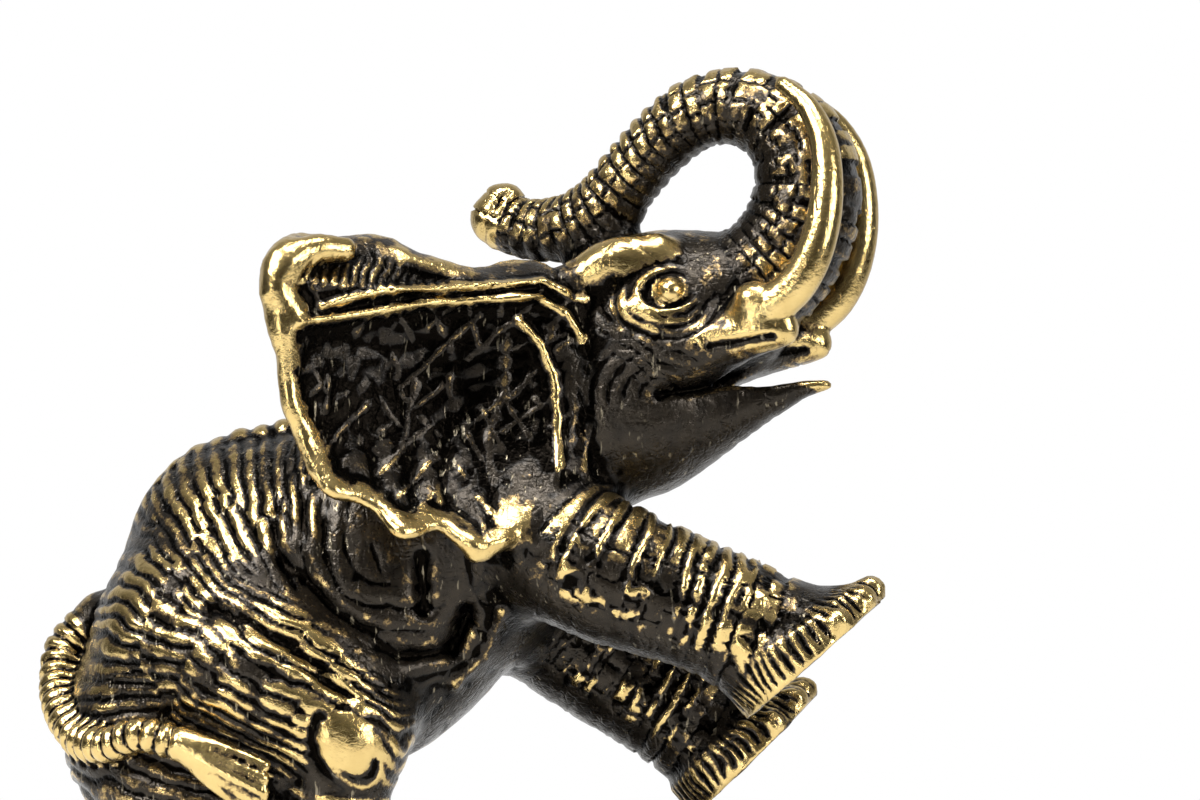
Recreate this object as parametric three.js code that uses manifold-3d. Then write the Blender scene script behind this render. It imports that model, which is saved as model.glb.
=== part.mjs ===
// A small cast bronze elephant, rearing on its hind legs on a low oval ground, trunk curled over its head.
// It is one casting. Millimetres, +Z up, facing +X, its left side towards +Y, origin under the ground's centre.
//
// The figure is written as a field: a function of a point that is negative inside the bronze. Balls, limbs and
// ear sheets are melted together as a modeller joins wax, then wrinkled, and the surface is traced on a grid
// and thinned to few triangles.
import * as THREE from "three";
import { mergeVertices } from "three/addons/utils/BufferGeometryUtils.js";
import Module from "manifold-3d";

// ---------- driving dimensions ----------
const BASE = { length: 44, width: 32, height: 4, edge: 1.2 };
const FLANK = 0.85; // width of the torso over its depth
const FORELEG_Y = 9; // centreline of each foreleg from the middle plane
const HINDLEG_Y = 9;
const SOLE = { length: 15, width: 12.6, thickness: 2.2 };
const NAIL = { radius: 1.3, inset: 0.5, above: 1.1 }; // above the sole
const WRINKLE = 0.3; // depth of the folds in the skin
const RING_PITCH = { trunk: 2.6, leg: 2.7, tail: 1.5, spine: 2.2 };
const EAR_THICKNESS = 1.7;
const HEAD = { pivot: [20.9, 0, 54.4], yaw: -12, roll: 5 }; // turned to its right, tipped to its left
const FACE_CARE = 4; // how much more a flaw in the head counts than one elsewhere, when triangles are saved
const FAR = 8; // a distance that no blend reaches
const GRID = 0.8; // spacing of the grid that the surface is traced on
const TRIANGLES = 9700; // what the traced surface is thinned to
const BRONZE = { color: 0x8a6a33, metalness: 1, roughness: 0.35 };

const v3 = (p) => new THREE.Vector3(...p);
const rad = THREE.MathUtils.degToRad;

// ---------- fields ----------
// A shape is { at(x, y, z), centre, reach }: its distance function and a ball that encloses it.

const melt = (a, b, k) => {
  const h = Math.max(k - Math.abs(a - b), 0) / k;
  return Math.min(a, b) - (h * h * k) / 4;
};

const ball = (centre, radii) => {
  const [a, b, c] = Array.isArray(radii) ? radii : [radii, radii, radii];
  const [cx, cy, cz] = centre;
  return {
    centre,
    reach: Math.max(a, b, c),
    at(x, y, z) {
      const px = (x - cx) / a;
      const py = (y - cy) / b;
      const pz = (z - cz) / c;
      const k0 = Math.hypot(px, py, pz);
      const k1 = Math.hypot(px / a, py / b, pz / c);
      return k0 < 1e-9 ? -Math.min(a, b, c) : (k0 * (k0 - 1)) / k1;
    },
  };
};

// A round limb along a smooth curve through stations [x, y, z, radius]. ring(s) is added to its radius, where s
// is the way along it, and squash is its width in Y over its depth.
const limb = (stations, { ring = null, squash = 1, steps = 5 } = {}) => {
  const curve = new THREE.CatmullRomCurve3(
    stations.map((s) => new THREE.Vector3(s[0], s[1] / squash, s[2])),
    false,
    "catmullrom",
    0.5,
  );
  const count = (stations.length - 1) * steps;
  const nodes = [];
  let along = 0;
  for (let i = 0; i <= count; i++) {
    const p = curve.getPoint(i / count);
    const f = i / steps;
    const k = Math.min(Math.floor(f), stations.length - 2);
    const r = THREE.MathUtils.lerp(stations[k][3], stations[k + 1][3], f - k);
    if (i) along += p.distanceTo(nodes[i - 1].p);
    nodes.push({ p, r, along });
  }
  const box = new THREE.Box3().setFromPoints(nodes.map((n) => n.p));
  const middle = box.getCenter(new THREE.Vector3());
  const thick = Math.max(...nodes.map((n) => n.r)) + 1;
  const at = (x, y0, z) => {
    const y = y0 / squash;
    let best = Infinity;
    for (let i = 0; i < count; i++) {
      const a = nodes[i];
      const b = nodes[i + 1];
      const dx = b.p.x - a.p.x;
      const dy = b.p.y - a.p.y;
      const dz = b.p.z - a.p.z;
      const qx = x - a.p.x;
      const qy = y - a.p.y;
      const qz = z - a.p.z;
      const long2 = dx * dx + dy * dy + dz * dz;
      const t = Math.min(
        1,
        Math.max(0, (qx * dx + qy * dy + qz * dz) / long2),
      );
      let r = a.r + (b.r - a.r) * t;
      const d = Math.hypot(qx - dx * t, qy - dy * t, qz - dz * t);
      if (ring && Math.abs(d - r) < 3)
        r += ring(a.along + (b.along - a.along) * t);
      best = Math.min(best, d - r);
    }
    return best * Math.min(1, squash);
  };
  return {
    at,
    centre: [middle.x, middle.y * squash, middle.z],
    reach: box.getSize(new THREE.Vector3()).length() / 2 + thick,
  };
};

// Shapes melted together in turn, each with its own blend radius.
const melted = (list) => {
  const at = (x, y, z) => {
    let d = Infinity;
    for (const { shape, blend } of list) {
      const away =
        Math.hypot(
          x - shape.centre[0],
          y - shape.centre[1],
          z - shape.centre[2],
        ) - shape.reach;
      if (away > d + blend || (away > FAR && d === Infinity)) continue;
      d = melt(d, shape.at(x, y, z), blend);
    }
    return d === Infinity ? FAR : d;
  };
  const box = new THREE.Box3();
  for (const { shape } of list)
    box.union(
      new THREE.Box3().setFromCenterAndSize(
        v3(shape.centre),
        v3([1, 1, 1]).multiplyScalar(2 * shape.reach),
      ),
    );
  return {
    at,
    centre: box.getCenter(new THREE.Vector3()).toArray(),
    reach: box.getSize(new THREE.Vector3()).length() / 2,
  };
};

const rings = (pitch, depth) => (s) => depth * (0.5 + 0.5 * Math.cos((2 * Math.PI * s) / pitch) - 0.6);

// Distance in a plane from (a, b) to an open line of points.
const lineDistance = (points) => (a, b) => {
  let best = Infinity;
  for (let i = 0; i + 1 < points.length; i++) {
    const [x0, y0] = points[i];
    const dx = points[i + 1][0] - x0;
    const dy = points[i + 1][1] - y0;
    const t = Math.min(
      1,
      Math.max(0, ((a - x0) * dx + (b - y0) * dy) / (dx * dx + dy * dy)),
    );
    best = Math.min(best, Math.hypot(a - x0 - dx * t, b - y0 - dy * t));
  }
  return best;
};
const bump = (d, width) => Math.exp(-((d / width) ** 2));

// ---------- torso, legs and tail ----------

// The back is hunched: a steep rump, a peak over the hips, then a long barrel up to the neck.
const torso = () => [
  {
    blend: 3,
    shape: limb(
      [
        [-15.2, 0, 25.6, 7.2],
        [-5.9, 0, 35.4, 11.1],
        [1.6, 0, 36.0, 14.0],
        [11.2, 0, 42.8, 12.0],
        [16.4, 0, 49.6, 9.4],
        [21.0, 0, 54.0, 8.2],
      ],
      { squash: FLANK },
    ),
  },
  { blend: 4, shape: ball([-9.0, 0, 40.1], [7.3, 5.5, 7.3]) },
  { blend: 4, shape: ball([1.2, 0, 30.8], [10.2, 11.5, 9.8]) },
];

const spineKnobs = () => {
  const back = [
    [-2.5, 49.9],
    [-8.3, 48.6],
    [-12.9, 46.3],
    [-15.0, 42.2],
    [-17.6, 37.2],
    [-20.6, 33.2],
  ];
  const curve = new THREE.CatmullRomCurve3(back.map(([x, z]) => v3([x, 0, z])));
  const count = Math.round(curve.getLength() / RING_PITCH.spine);
  return curve.getSpacedPoints(count).map((p) => ({
    blend: 0.9,
    shape: ball([p.x + 0.35, 0, p.z - 0.35], [1.15, 1.7, 1.15]),
  }));
};

const foreleg = (shoulder, elbow, knee, wrist, sole) => {
  const tip = Math.hypot(sole.normal[0], sole.normal[1]);
  const n = [sole.normal[0] / tip, sole.normal[1] / tip];
  const [sx, sy, sz] = sole.centre;
  const along = [-n[1], n[0]];
  const leg = limb([shoulder, elbow, knee, wrist, [sx - n[0] * 2, sy, sz - n[1] * 2, 4.4]], {
    ring: rings(RING_PITCH.leg, WRINKLE * 1.5),
  });
  // The foot is a flat disc that flares out over the sole, tilted with it.
  const disc = {
    centre: sole.centre,
    reach: SOLE.length / 2 + 1,
    at(x, y, z) {
      const a = (x - sx) * along[0] + (z - sz) * along[1];
      const b = y - sy;
      const c = (x - sx) * n[0] + (z - sz) * n[1];
      const flare = 1 - 0.05 * Math.max(0, -c);
      const r = Math.hypot(a / (SOLE.length / 2), b / (SOLE.width / 2));
      return Math.max((r / flare - 1) * (SOLE.width / 2), -c - SOLE.thickness);
    },
  };
  // toenails round the front edge of the foot
  const nails = [-60, -30, 0, 30, 60].map((turn) => {
    const a = Math.cos(rad(turn)) * (SOLE.length / 2 - NAIL.inset);
    const b = Math.sin(rad(turn)) * (SOLE.width / 2 - NAIL.inset);
    const x = sx + along[0] * a - n[0] * NAIL.above;
    const z = sz + along[1] * a - n[1] * NAIL.above;
    return { blend: 0.5, shape: ball([x, sy + b, z], NAIL.radius) };
  });
  const solid = melted([
    { blend: 3, shape: leg },
    { blend: 4, shape: disc },
    ...nails,
  ]);
  return {
    ...solid,
    at: (x, y, z) =>
      Math.max(
        solid.at(x, y, z),
        (x - sx) * n[0] + (z - sz) * n[1], // the sole, cut flat
      ),
  };
};

// The near (right) foreleg strikes forward, the far (left) one hangs lower.
const forelegs = () => [
  {
    blend: 4,
    shape: foreleg(
      [16.8, -6.2, 41.8, 5.8],
      [22.8, -FORELEG_Y, 38.2, 6.0],
      [30.3, -FORELEG_Y, 35.3, 5.4],
      [35.6, -FORELEG_Y, 33.3, 5.2],
      { centre: [41.6, -FORELEG_Y, 30.5], normal: [0.664, -0.75] },
    ),
  },
  {
    blend: 4,
    shape: foreleg(
      [13.0, 7.4, 37.3, 6.4],
      [20.3, FORELEG_Y, 31.3, 6.0],
      [26.8, FORELEG_Y, 26.8, 5.5],
      [31.2, FORELEG_Y, 23.9, 5.2],
      { centre: [35.8, FORELEG_Y, 20.9], normal: [0.703, -0.711] },
    ),
  },
];

// The far hind leg stands a little behind the near one.
const hindleg = (side, back) => {
  const y = side * HINDLEG_Y;
  const parts = [
    // haunch and thigh, down and forward to the knee
    {
      blend: 4,
      shape: limb([
        [-11.6, y * 0.6, 31.6, 7.5],
        [-4.6 - back / 2, y * 0.9, 28.4, 8.0],
        [2.6 - back, y * 1.12, 24.2, 4.8],
      ]),
    },
    // buttock and back of the thigh
    {
      blend: 4,
      shape: limb([
        [-14.8, y * 0.6, 23.0, 7.0],
        [-11.6, y * 0.8, 18.5, 6.8],
        [-6.5, y, 14.0, 5.4],
      ]),
    },
    // shin, ankle and foot
    {
      blend: 3,
      shape: limb(
        [
          [2.2 - back, y * 1.12, 24.0, 4.5],
          [1.0 - back, y * 1.1, 17.5, 4.7],
          [-1.5 - back, y, 11.0, 4.8],
          [-1.2 - back, y, BASE.height + 2.4, 5.6],
        ],
        { ring: rings(RING_PITCH.leg, WRINKLE) },
      ),
    },
    { blend: 1.2, shape: ball([3.7 - back, y * 1.2, 24.2], [2.9, 2.8, 2.9]) },
  ];
  const nails = [-50, -17, 17, 50].map((turn) => ({
    blend: 0.5,
    shape: ball(
      [-1.4 - back + 6.0 * Math.cos(rad(turn)), y + 5.4 * Math.sin(rad(turn)), BASE.height + 0.9],
      [1.2, 1.3, 1.5],
    ),
  }));
  return [...parts, ...nails];
};

const tail = () => {
  const tuft = [-10.2, -15.9, 23.5];
  const strands = [-1, 0, 1].map((k) => ({
    blend: 0.6,
    shape: limb([
      [...tuft, 1.3],
      [-7.6, -16.9 + 0.4 * Math.abs(k), 21.9 + k * 0.9, 1.2],
      [-3.4, -17.0, 19.7 + k * 1.5, 0.6],
    ]),
  }));
  return [
    {
      blend: 1.2,
      shape: limb(
        [
          [-20.0, 0, 33.4, 1.9],
          [-22.7, -0.8, 30.4, 1.8],
          [-22.9, -3.0, 27.8, 1.6],
          [-22.0, -6.2, 25.5, 1.5],
          [-19.8, -9.8, 23.5, 1.45],
          [-17.0, -13.0, 23.2, 1.4],
          [-13.8, -15.0, 24.2, 1.4],
          [...tuft, 1.35],
        ],
        { ring: rings(RING_PITCH.tail, 0.35) },
      ),
    },
    ...strands,
  ];
};

// ---------- head, in its own frame: origin at the pivot, before it is turned ----------

const TUSK = [
  [16.8, 6.0, 3.6, 1.8],
  [18.9, 6.5, 4.8, 1.75],
  [21.0, 6.8, 6.6, 1.65],
  [22.5, 6.9, 9.6, 1.55],
  [23.2, 6.7, 13.6, 1.4],
  [22.8, 6.2, 18.0, 1.2],
  [21.2, 5.5, 21.3, 0.95],
  [18.8, 4.7, 23.4, 0.7],
];

const skull = () => [
  { blend: 1, shape: ball([6.2, 0, 3.1], [8.4, 7.6, 8.0]) },
  { blend: 4, shape: ball([4.6, 0, -3.8], [7.4, 7.4, 6.9]) },
  { blend: 3, shape: ball([12.0, 0, 3.6], [5.6, 5.6, 5.2]) },
];

const trunk = () => [
  {
    blend: 3.5,
    shape: limb(
      [
        [9.5, 0, 5.2, 6.0],
        [14.4, 0, 6.6, 5.1],
        [17.7, 0, 9.3, 4.8],
        [19.5, 0, 12.6, 4.65],
        [19.9, 0, 16.0, 4.4],
        [18.9, 0, 19.2, 4.0],
        [16.4, 0, 21.4, 3.5],
        [13.2, 0, 22.3, 3.15],
        [9.8, 0, 21.5, 2.95],
        [6.8, 0.3, 19.2, 2.8],
        [4.2, 0.7, 16.5, 2.8],
        [2.0, 1.2, 14.0, 2.9],
        [-0.9, 1.8, 12.5, 2.8],
        [-4.1, 2.5, 12.2, 2.6],
        [-6.8, 3.0, 12.7, 2.4],
        [-8.3, 3.2, 13.3, 2.3],
      ],
      { ring: rings(RING_PITCH.trunk, WRINKLE * 2) },
    ),
  },
  { blend: 0.8, shape: ball([-7.6, 3.2, 15.3], [1.5, 1.6, 1.2]) }, // the finger at the trunk's tip
];

const jaw = () => [
  {
    blend: 2.5,
    shape: limb(
      [
        [4.5, 0, -5.6, 5.0],
        [10.5, 0, -4.6, 3.5],
        [15.8, 0, -2.7, 2.1],
        [19.6, 0, -1.5, 1.1],
        [21.8, 0, -1.2, 0.6],
      ],
      { squash: 1.15 },
    ),
  },
];

const face = (side) => [
  // upper lip, out to the socket that holds the tusk
  {
    blend: 1.5,
    shape: limb([
      [9.0, side * 4.2, 0.6, 3.4],
      [14.0, side * 5.0, 2.0, 2.6],
      [17.4, side * 5.8, 2.8, 2.2],
      [19.4, side * 6.0, 2.8, 1.5],
    ]),
  },
  { blend: 1, shape: ball([17.2, side * 6.7, 5.0], 1.7) },
  { blend: 0.4, shape: limb(TUSK.map(([x, y, z, r]) => [x, side * y, z, r])) },
  // brow
  {
    blend: 1.5,
    shape: limb([
      [0.8, side * 5.9, 5.8, 1.5],
      [4.2, side * 6.1, 8.2, 2.0],
      [8.4, side * 5.0, 9.4, 1.5],
    ]),
  },
  // eye, with the pouch under it
  { blend: 0.5, shape: ball([10.1, side * 6.5, 5.9], [1.7, 1.2, 1.3]) },
  {
    blend: 0.8,
    shape: limb([
      [6.6, side * 7.1, 4.4, 1.0],
      [9.2, side * 7.1, 3.4, 0.9],
      [12.0, side * 6.1, 3.9, 0.6],
    ]),
  },
];

// The ear's own frame: u runs back from the root, v up it, w out of its hollow front face.
const EAR = {
  root: [1.2, 7.6, 0],
  flare: Math.atan2(0.6, 0.8),
  rim: 1.15,
  hollow: { u: 12.5, v: -4.5, across: 13, high: 12, depth: 2.6 },
  fold: { v: 5.0, slope: 0.8 }, // above this line the sheet rolls back
  curl: { v: -5.5, depth: 3.2 }, // below this line it curls forward
};
const EAR_OUTLINE = [
  [-2.5, 6.0],
  [1.0, 8.4],
  [3.6, 8.5],
  [7.7, 7.5],
  [11.3, 8.4],
  [15.7, 10.0],
  [19.5, 9.6],
  [23.4, 9.4],
  [25.9, 7.6],
  [26.5, 5.2],
  [25.8, 1.4],
  [24.9, -1.6],
  [24.5, -4.4],
  [22.6, -8.6],
  [20.9, -12.0],
  [18.3, -12.7],
  [16.6, -13.6],
  [15.2, -15.4],
  [13.6, -15.4],
  [11.6, -14.7],
  [10.2, -15.6],
  [8.6, -17.4],
  [6.2, -16.4],
  [4.4, -14.4],
  [2.6, -11.0],
  [0.2, -9.5],
  [-2.5, -8.5],
];
// The ridge that stiffens the top of the ear, with the sheet rolled back above it, and the crest down its front.
const EAR_RIDGES = [
  [
    [-0.5, 3.2],
    [1.8, 5.6],
    [7.5, 5.3],
    [13.0, 4.8],
    [19.5, 3.2],
    [23.5, 2.2],
  ],
  [
    [4.3, 3.0],
    [2.5, 1.2],
    [1.3, -1.5],
    [0.9, -5.0],
    [0.9, -9.5],
  ],
];
const EAR_CORNER = [
  [19.5, 8.1, 1.0],
  [22.3, 7.9, 1.3],
  [24.4, 6.4, 1.4],
  [24.9, 4.4, 1.3],
  [24.0, 2.8, 1.1],
];

const ear = (side) => {
  const outline = new THREE.CatmullRomCurve3(
    EAR_OUTLINE.map(([a, b]) => v3([a, b, 0])),
    true,
    "catmullrom",
    0.5,
  )
    .getPoints(EAR_OUTLINE.length * 3)
    .map((p) => [p.x, p.y]);
  const edgeDistance = lineDistance(outline);
  const ridges = EAR_RIDGES.map(lineDistance);
  const corner = limb(EAR_CORNER.map(([a, b, r]) => [a, 0.4, b, r]));
  const inside = (a, b) => {
    let within = false;
    for (let i = 0, j = outline.length - 1; i < outline.length; j = i++) {
      const [xi, yi] = outline[i];
      const [xj, yj] = outline[j];
      if (yi > b !== yj > b && a < ((xj - xi) * (b - yi)) / (yj - yi) + xi)
        within = !within;
    }
    return within;
  };
  const c = Math.cos(EAR.flare);
  const s = Math.sin(EAR.flare);
  const { hollow, fold, curl } = EAR;
  const sheetAt = (u, v) => {
    const rho = ((u - hollow.u) / hollow.across) ** 2 + ((v - hollow.v) / hollow.high) ** 2;
    const bowl = -hollow.depth * Math.max(0, 1 - rho);
    const rolled = THREE.MathUtils.smoothstep(26 - u, 0, 5);
    const back = -fold.slope * rolled * Math.max(0, v - fold.v);
    const low = Math.min(1, Math.max(0, curl.v - v) / 10);
    return bowl + back + curl.depth * low * low;
  };
  const lean = Math.hypot(1, fold.slope);
  const at = (x, y, z) => {
    const px = x - EAR.root[0];
    const py = side * y - EAR.root[1];
    const u = -c * px + s * py;
    const w = s * px + c * py;
    const v = z - EAR.root[2];
    if (w > 8 || w < -9 || u < -6 || u > 31 || v > 14 || v < -22) return FAR;
    const edge = edgeDistance(u, v) * (inside(u, v) ? -1 : 1) + EAR.rim;
    const off = (w - sheetAt(u, v)) / (v > fold.v ? lean : 1);
    const swell = 0.9 * bump(Math.min(...ridges.map((r) => r(u, v))), 0.8);
    const plate = Math.max(edge, Math.abs(off) - EAR_THICKNESS / 2 - swell);
    const rim = Math.hypot(edge, off) - EAR.rim;
    return melt(melt(plate, rim, 0.6), corner.at(u, w, v), 0.8);
  };
  const [rx, ry, rz] = EAR.root;
  return [
    { blend: 0.8, shape: { at, centre: [rx - 10, side * (ry + 8), rz - 3], reach: 24 } },
    // the root of the ear, where it grows out of the neck
    {
      blend: 2,
      shape: limb([
        [0.6, side * 6.6, 6.0, 1.6],
        [1.0, side * 7.0, 0, 1.6],
        [0.6, side * 6.6, -7.5, 1.6],
      ]),
    },
  ];
};

// The open mouth: a hollow over the tongue, and the line of the lips along each cheek.
const MOUTH = limb(
  [
    [11.0, 0, -1.6, 0.8],
    [15.0, 0, -0.6, 1.5],
    [20.0, 0, 0.8, 1.8],
    [25.0, 0, 1.4, 2.2],
  ],
  { squash: 1.8 },
);
const LIPS = {
  depth: 0.9,
  width: 0.6,
  at: lineDistance([
    [9.3, -2.6],
    [12.0, -1.9],
    [15.3, -0.7],
    [18.7, 0.1],
    [21.5, -0.2],
  ]),
};

const head = () => {
  const turn = new THREE.Matrix4()
    .makeRotationZ(rad(HEAD.yaw))
    .multiply(new THREE.Matrix4().makeRotationX(-rad(HEAD.roll)))
    .setPosition(...HEAD.pivot);
  const own = turn.clone().invert();
  const solid = melted([
    ...skull(),
    ...trunk(),
    ...jaw(),
    ...[-1, 1].flatMap(face),
    ...[-1, 1].flatMap(ear),
  ]);
  const q = new THREE.Vector3();
  return {
    centre: v3(solid.centre).applyMatrix4(turn).toArray(),
    reach: solid.reach,
    at(x, y, z) {
      q.set(x, y, z).applyMatrix4(own);
      let d = solid.at(q.x, q.y, q.z);
      if (q.x > 6 && d < 3) {
        if (Math.abs(q.y) > 1) d += LIPS.depth * bump(LIPS.at(q.x, q.z), LIPS.width);
        d = -melt(-d, MOUTH.at(q.x, q.y, q.z), 0.8);
      }
      return d;
    },
  };
};

// ---------- folds carved in the skin ----------
// Lines of the folds in side view, [x, z]. Both flanks carry them.
const FLANK_FOLDS = [
  { depth: 0.9, width: 0.7, line: [[8.9, 38.6], [9.0, 34.4]] },
  { depth: 0.7, width: 0.8, line: [[-2.6, 38.4], [2.5, 34.0], [7.0, 30.6], [10.2, 31.0], [12.2, 33.4]] },
  { depth: 0.9, width: 0.7, line: [[12.4, 34.2], [11.2, 30.8]] },
  { depth: -0.5, width: 0.6, line: [[15.4, 34.0], [13.8, 30.2], [11.4, 28.0]] },
  { depth: 0.7, width: 0.7, line: [[3.2, 27.2], [-1.5, 31.8], [-8.0, 34.4]] },
];
const RUMP = { pivot: [-2.6, 31.4], from: 110, to: 190, count: 7, inner: 5 };

const carving = () => {
  const folds = FLANK_FOLDS.map((f) => ({ ...f, at: lineDistance(f.line) }));
  const spread = RUMP.to - RUMP.from;
  return (x, y, z) => {
    if (Math.abs(y) < 1.5) return 0;
    let d = 0;
    for (const f of folds) d += f.depth * bump(f.at(x, z), f.width);
    const [px, pz] = RUMP.pivot;
    const away = Math.hypot(x - px, z - pz);
    const turn = THREE.MathUtils.radToDeg(Math.atan2(z - pz, x - px));
    const angle = turn < 0 ? turn + 360 : turn;
    if (away > RUMP.inner && angle > RUMP.from && angle < RUMP.to) {
      const phase = ((angle - RUMP.from) / spread) * RUMP.count;
      const fade = Math.min(1, (away - RUMP.inner) / 3);
      d += 2 * WRINKLE * fade * (0.5 + 0.5 * Math.cos(2 * Math.PI * phase)) ** 2;
    }
    return d * Math.min(1, (Math.abs(y) - 1.5) / 2);
  };
};

// ---------- the low ground it rears on ----------
const ground = () => ({
  centre: [0, 0, 0],
  reach: BASE.length / 2 + 2,
  at(x, y, z) {
    const turn = Math.atan2(y * (BASE.length / BASE.width), x);
    const wave = 1 + 0.018 * Math.sin(5 * turn + 0.6) + 0.012 * Math.sin(9 * turn);
    const a = BASE.length / 2 - BASE.edge;
    const b = BASE.width / 2 - BASE.edge;
    const r = Math.hypot(x / a, y / b) / wave;
    const side = (r - 1) * b * 0.9;
    const rise = 0.25 * Math.sin(x * 0.55 + 1) * Math.cos(y * 0.6);
    const top = z - (BASE.height - BASE.edge) - rise;
    const out = Math.hypot(Math.max(side, 0), Math.max(top, 0));
    return Math.min(Math.max(side, top), 0) + out - BASE.edge;
  },
});

const elephantField = () => {
  const body = melted([
    ...torso(),
    ...forelegs(),
    ...hindleg(-1, 0),
    ...hindleg(1, 2.5),
  ]);
  const carve = carving();
  const rest = melted([...spineKnobs(), ...tail()]);
  const top = head();
  const low = ground();
  return (x, y, z) => {
    let d = body.at(x, y, z);
    if (d < 3) d += carve(x, y, z);
    d = melt(d, rest.at(x, y, z), 0.8);
    d = melt(d, top.at(x, y, z), 2.5);
    return melt(d, low.at(x, y, z), 1);
  };
};

// ---------- tracing the surface ----------
// Each cube of the grid is six tetrahedra round its long diagonal, so the surface always closes on itself.
const TETRAHEDRA = [
  [0, 1, 3, 7],
  [0, 3, 2, 7],
  [0, 2, 6, 7],
  [0, 6, 4, 7],
  [0, 4, 5, 7],
  [0, 5, 1, 7],
];

const trace = (field, box, step) => {
  const size = box.getSize(new THREE.Vector3());
  const [nx, ny, nz] = size.toArray().map((s) => Math.ceil(s / step) + 1);
  const { min } = box;
  const values = new Float64Array(nx * ny * nz);
  const key = (i, j, k) => (k * ny + j) * nx + i;
  for (let k = 0; k < nz; k++)
    for (let j = 0; j < ny; j++)
      for (let i = 0; i < nx; i++) {
        const border = i % (nx - 1) === 0 || j % (ny - 1) === 0 || k % (nz - 1) === 0;
        const d = border ? step : field(min.x + i * step, min.y + j * step, min.z + k * step);
        values[key(i, j, k)] = Math.abs(d) < 1e-4 ? 1e-4 : d;
      }
  const positions = [];
  const faces = [];
  const made = new Map();
  const place = (n) => [n % nx, Math.floor(n / nx) % ny, Math.floor(n / (nx * ny))];
  const crossing = (a, b) => {
    const id = a < b ? a * values.length + b : b * values.length + a;
    if (!made.has(id)) {
      const t = THREE.MathUtils.clamp(values[a] / (values[a] - values[b]), 0.05, 0.95);
      const pa = place(a);
      const pb = place(b);
      const p = pa.map((c, m) => c + (pb[m] - c) * t);
      made.set(id, positions.length / 3);
      positions.push(min.x + p[0] * step, min.y + p[1] * step, min.z + p[2] * step);
    }
    return made.get(id);
  };
  const corner = new Array(8);
  for (let k = 0; k + 1 < nz; k++)
    for (let j = 0; j + 1 < ny; j++)
      for (let i = 0; i + 1 < nx; i++) {
        let inner = 0;
        for (let m = 0; m < 8; m++) {
          corner[m] = key(i + (m & 1), j + ((m >> 1) & 1), k + (m >> 2));
          if (values[corner[m]] < 0) inner++;
        }
        if (inner === 0 || inner === 8) continue;
        for (const tet of TETRAHEDRA) {
          const [a, b, c, d] = tet.map((m) => corner[m]);
          const low = [a, b, c, d].filter((n) => values[n] < 0);
          const high = [a, b, c, d].filter((n) => values[n] >= 0);
          if (!low.length || !high.length) continue;
          // an even reordering of the corners keeps the faces pointing out
          const order = [...low, ...high];
          const even = parity([a, b, c, d], order);
          if (low.length === 2) {
            const quad = [
              crossing(order[0], order[2]),
              crossing(order[1], order[2]),
              crossing(order[1], order[3]),
              crossing(order[0], order[3]),
            ];
            if (even) quad.reverse();
            faces.push(quad[0], quad[1], quad[2], quad[0], quad[2], quad[3]);
          } else {
            const lone = low.length === 1 ? order[0] : order[3];
            const others = low.length === 1 ? order.slice(1) : order.slice(0, 3);
            const tri = others.map((n) => crossing(lone, n));
            if (!even) tri.reverse();
            faces.push(...tri);
          }
        }
      }
  return { positions, faces };
};

const parity = (from, to) => {
  const at = to.map((n) => from.indexOf(n));
  let even = true;
  for (let i = 0; i < 4; i++)
    for (let j = i + 1; j < 4; j++) if (at[i] > at[j]) even = !even;
  return even;
};

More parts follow.
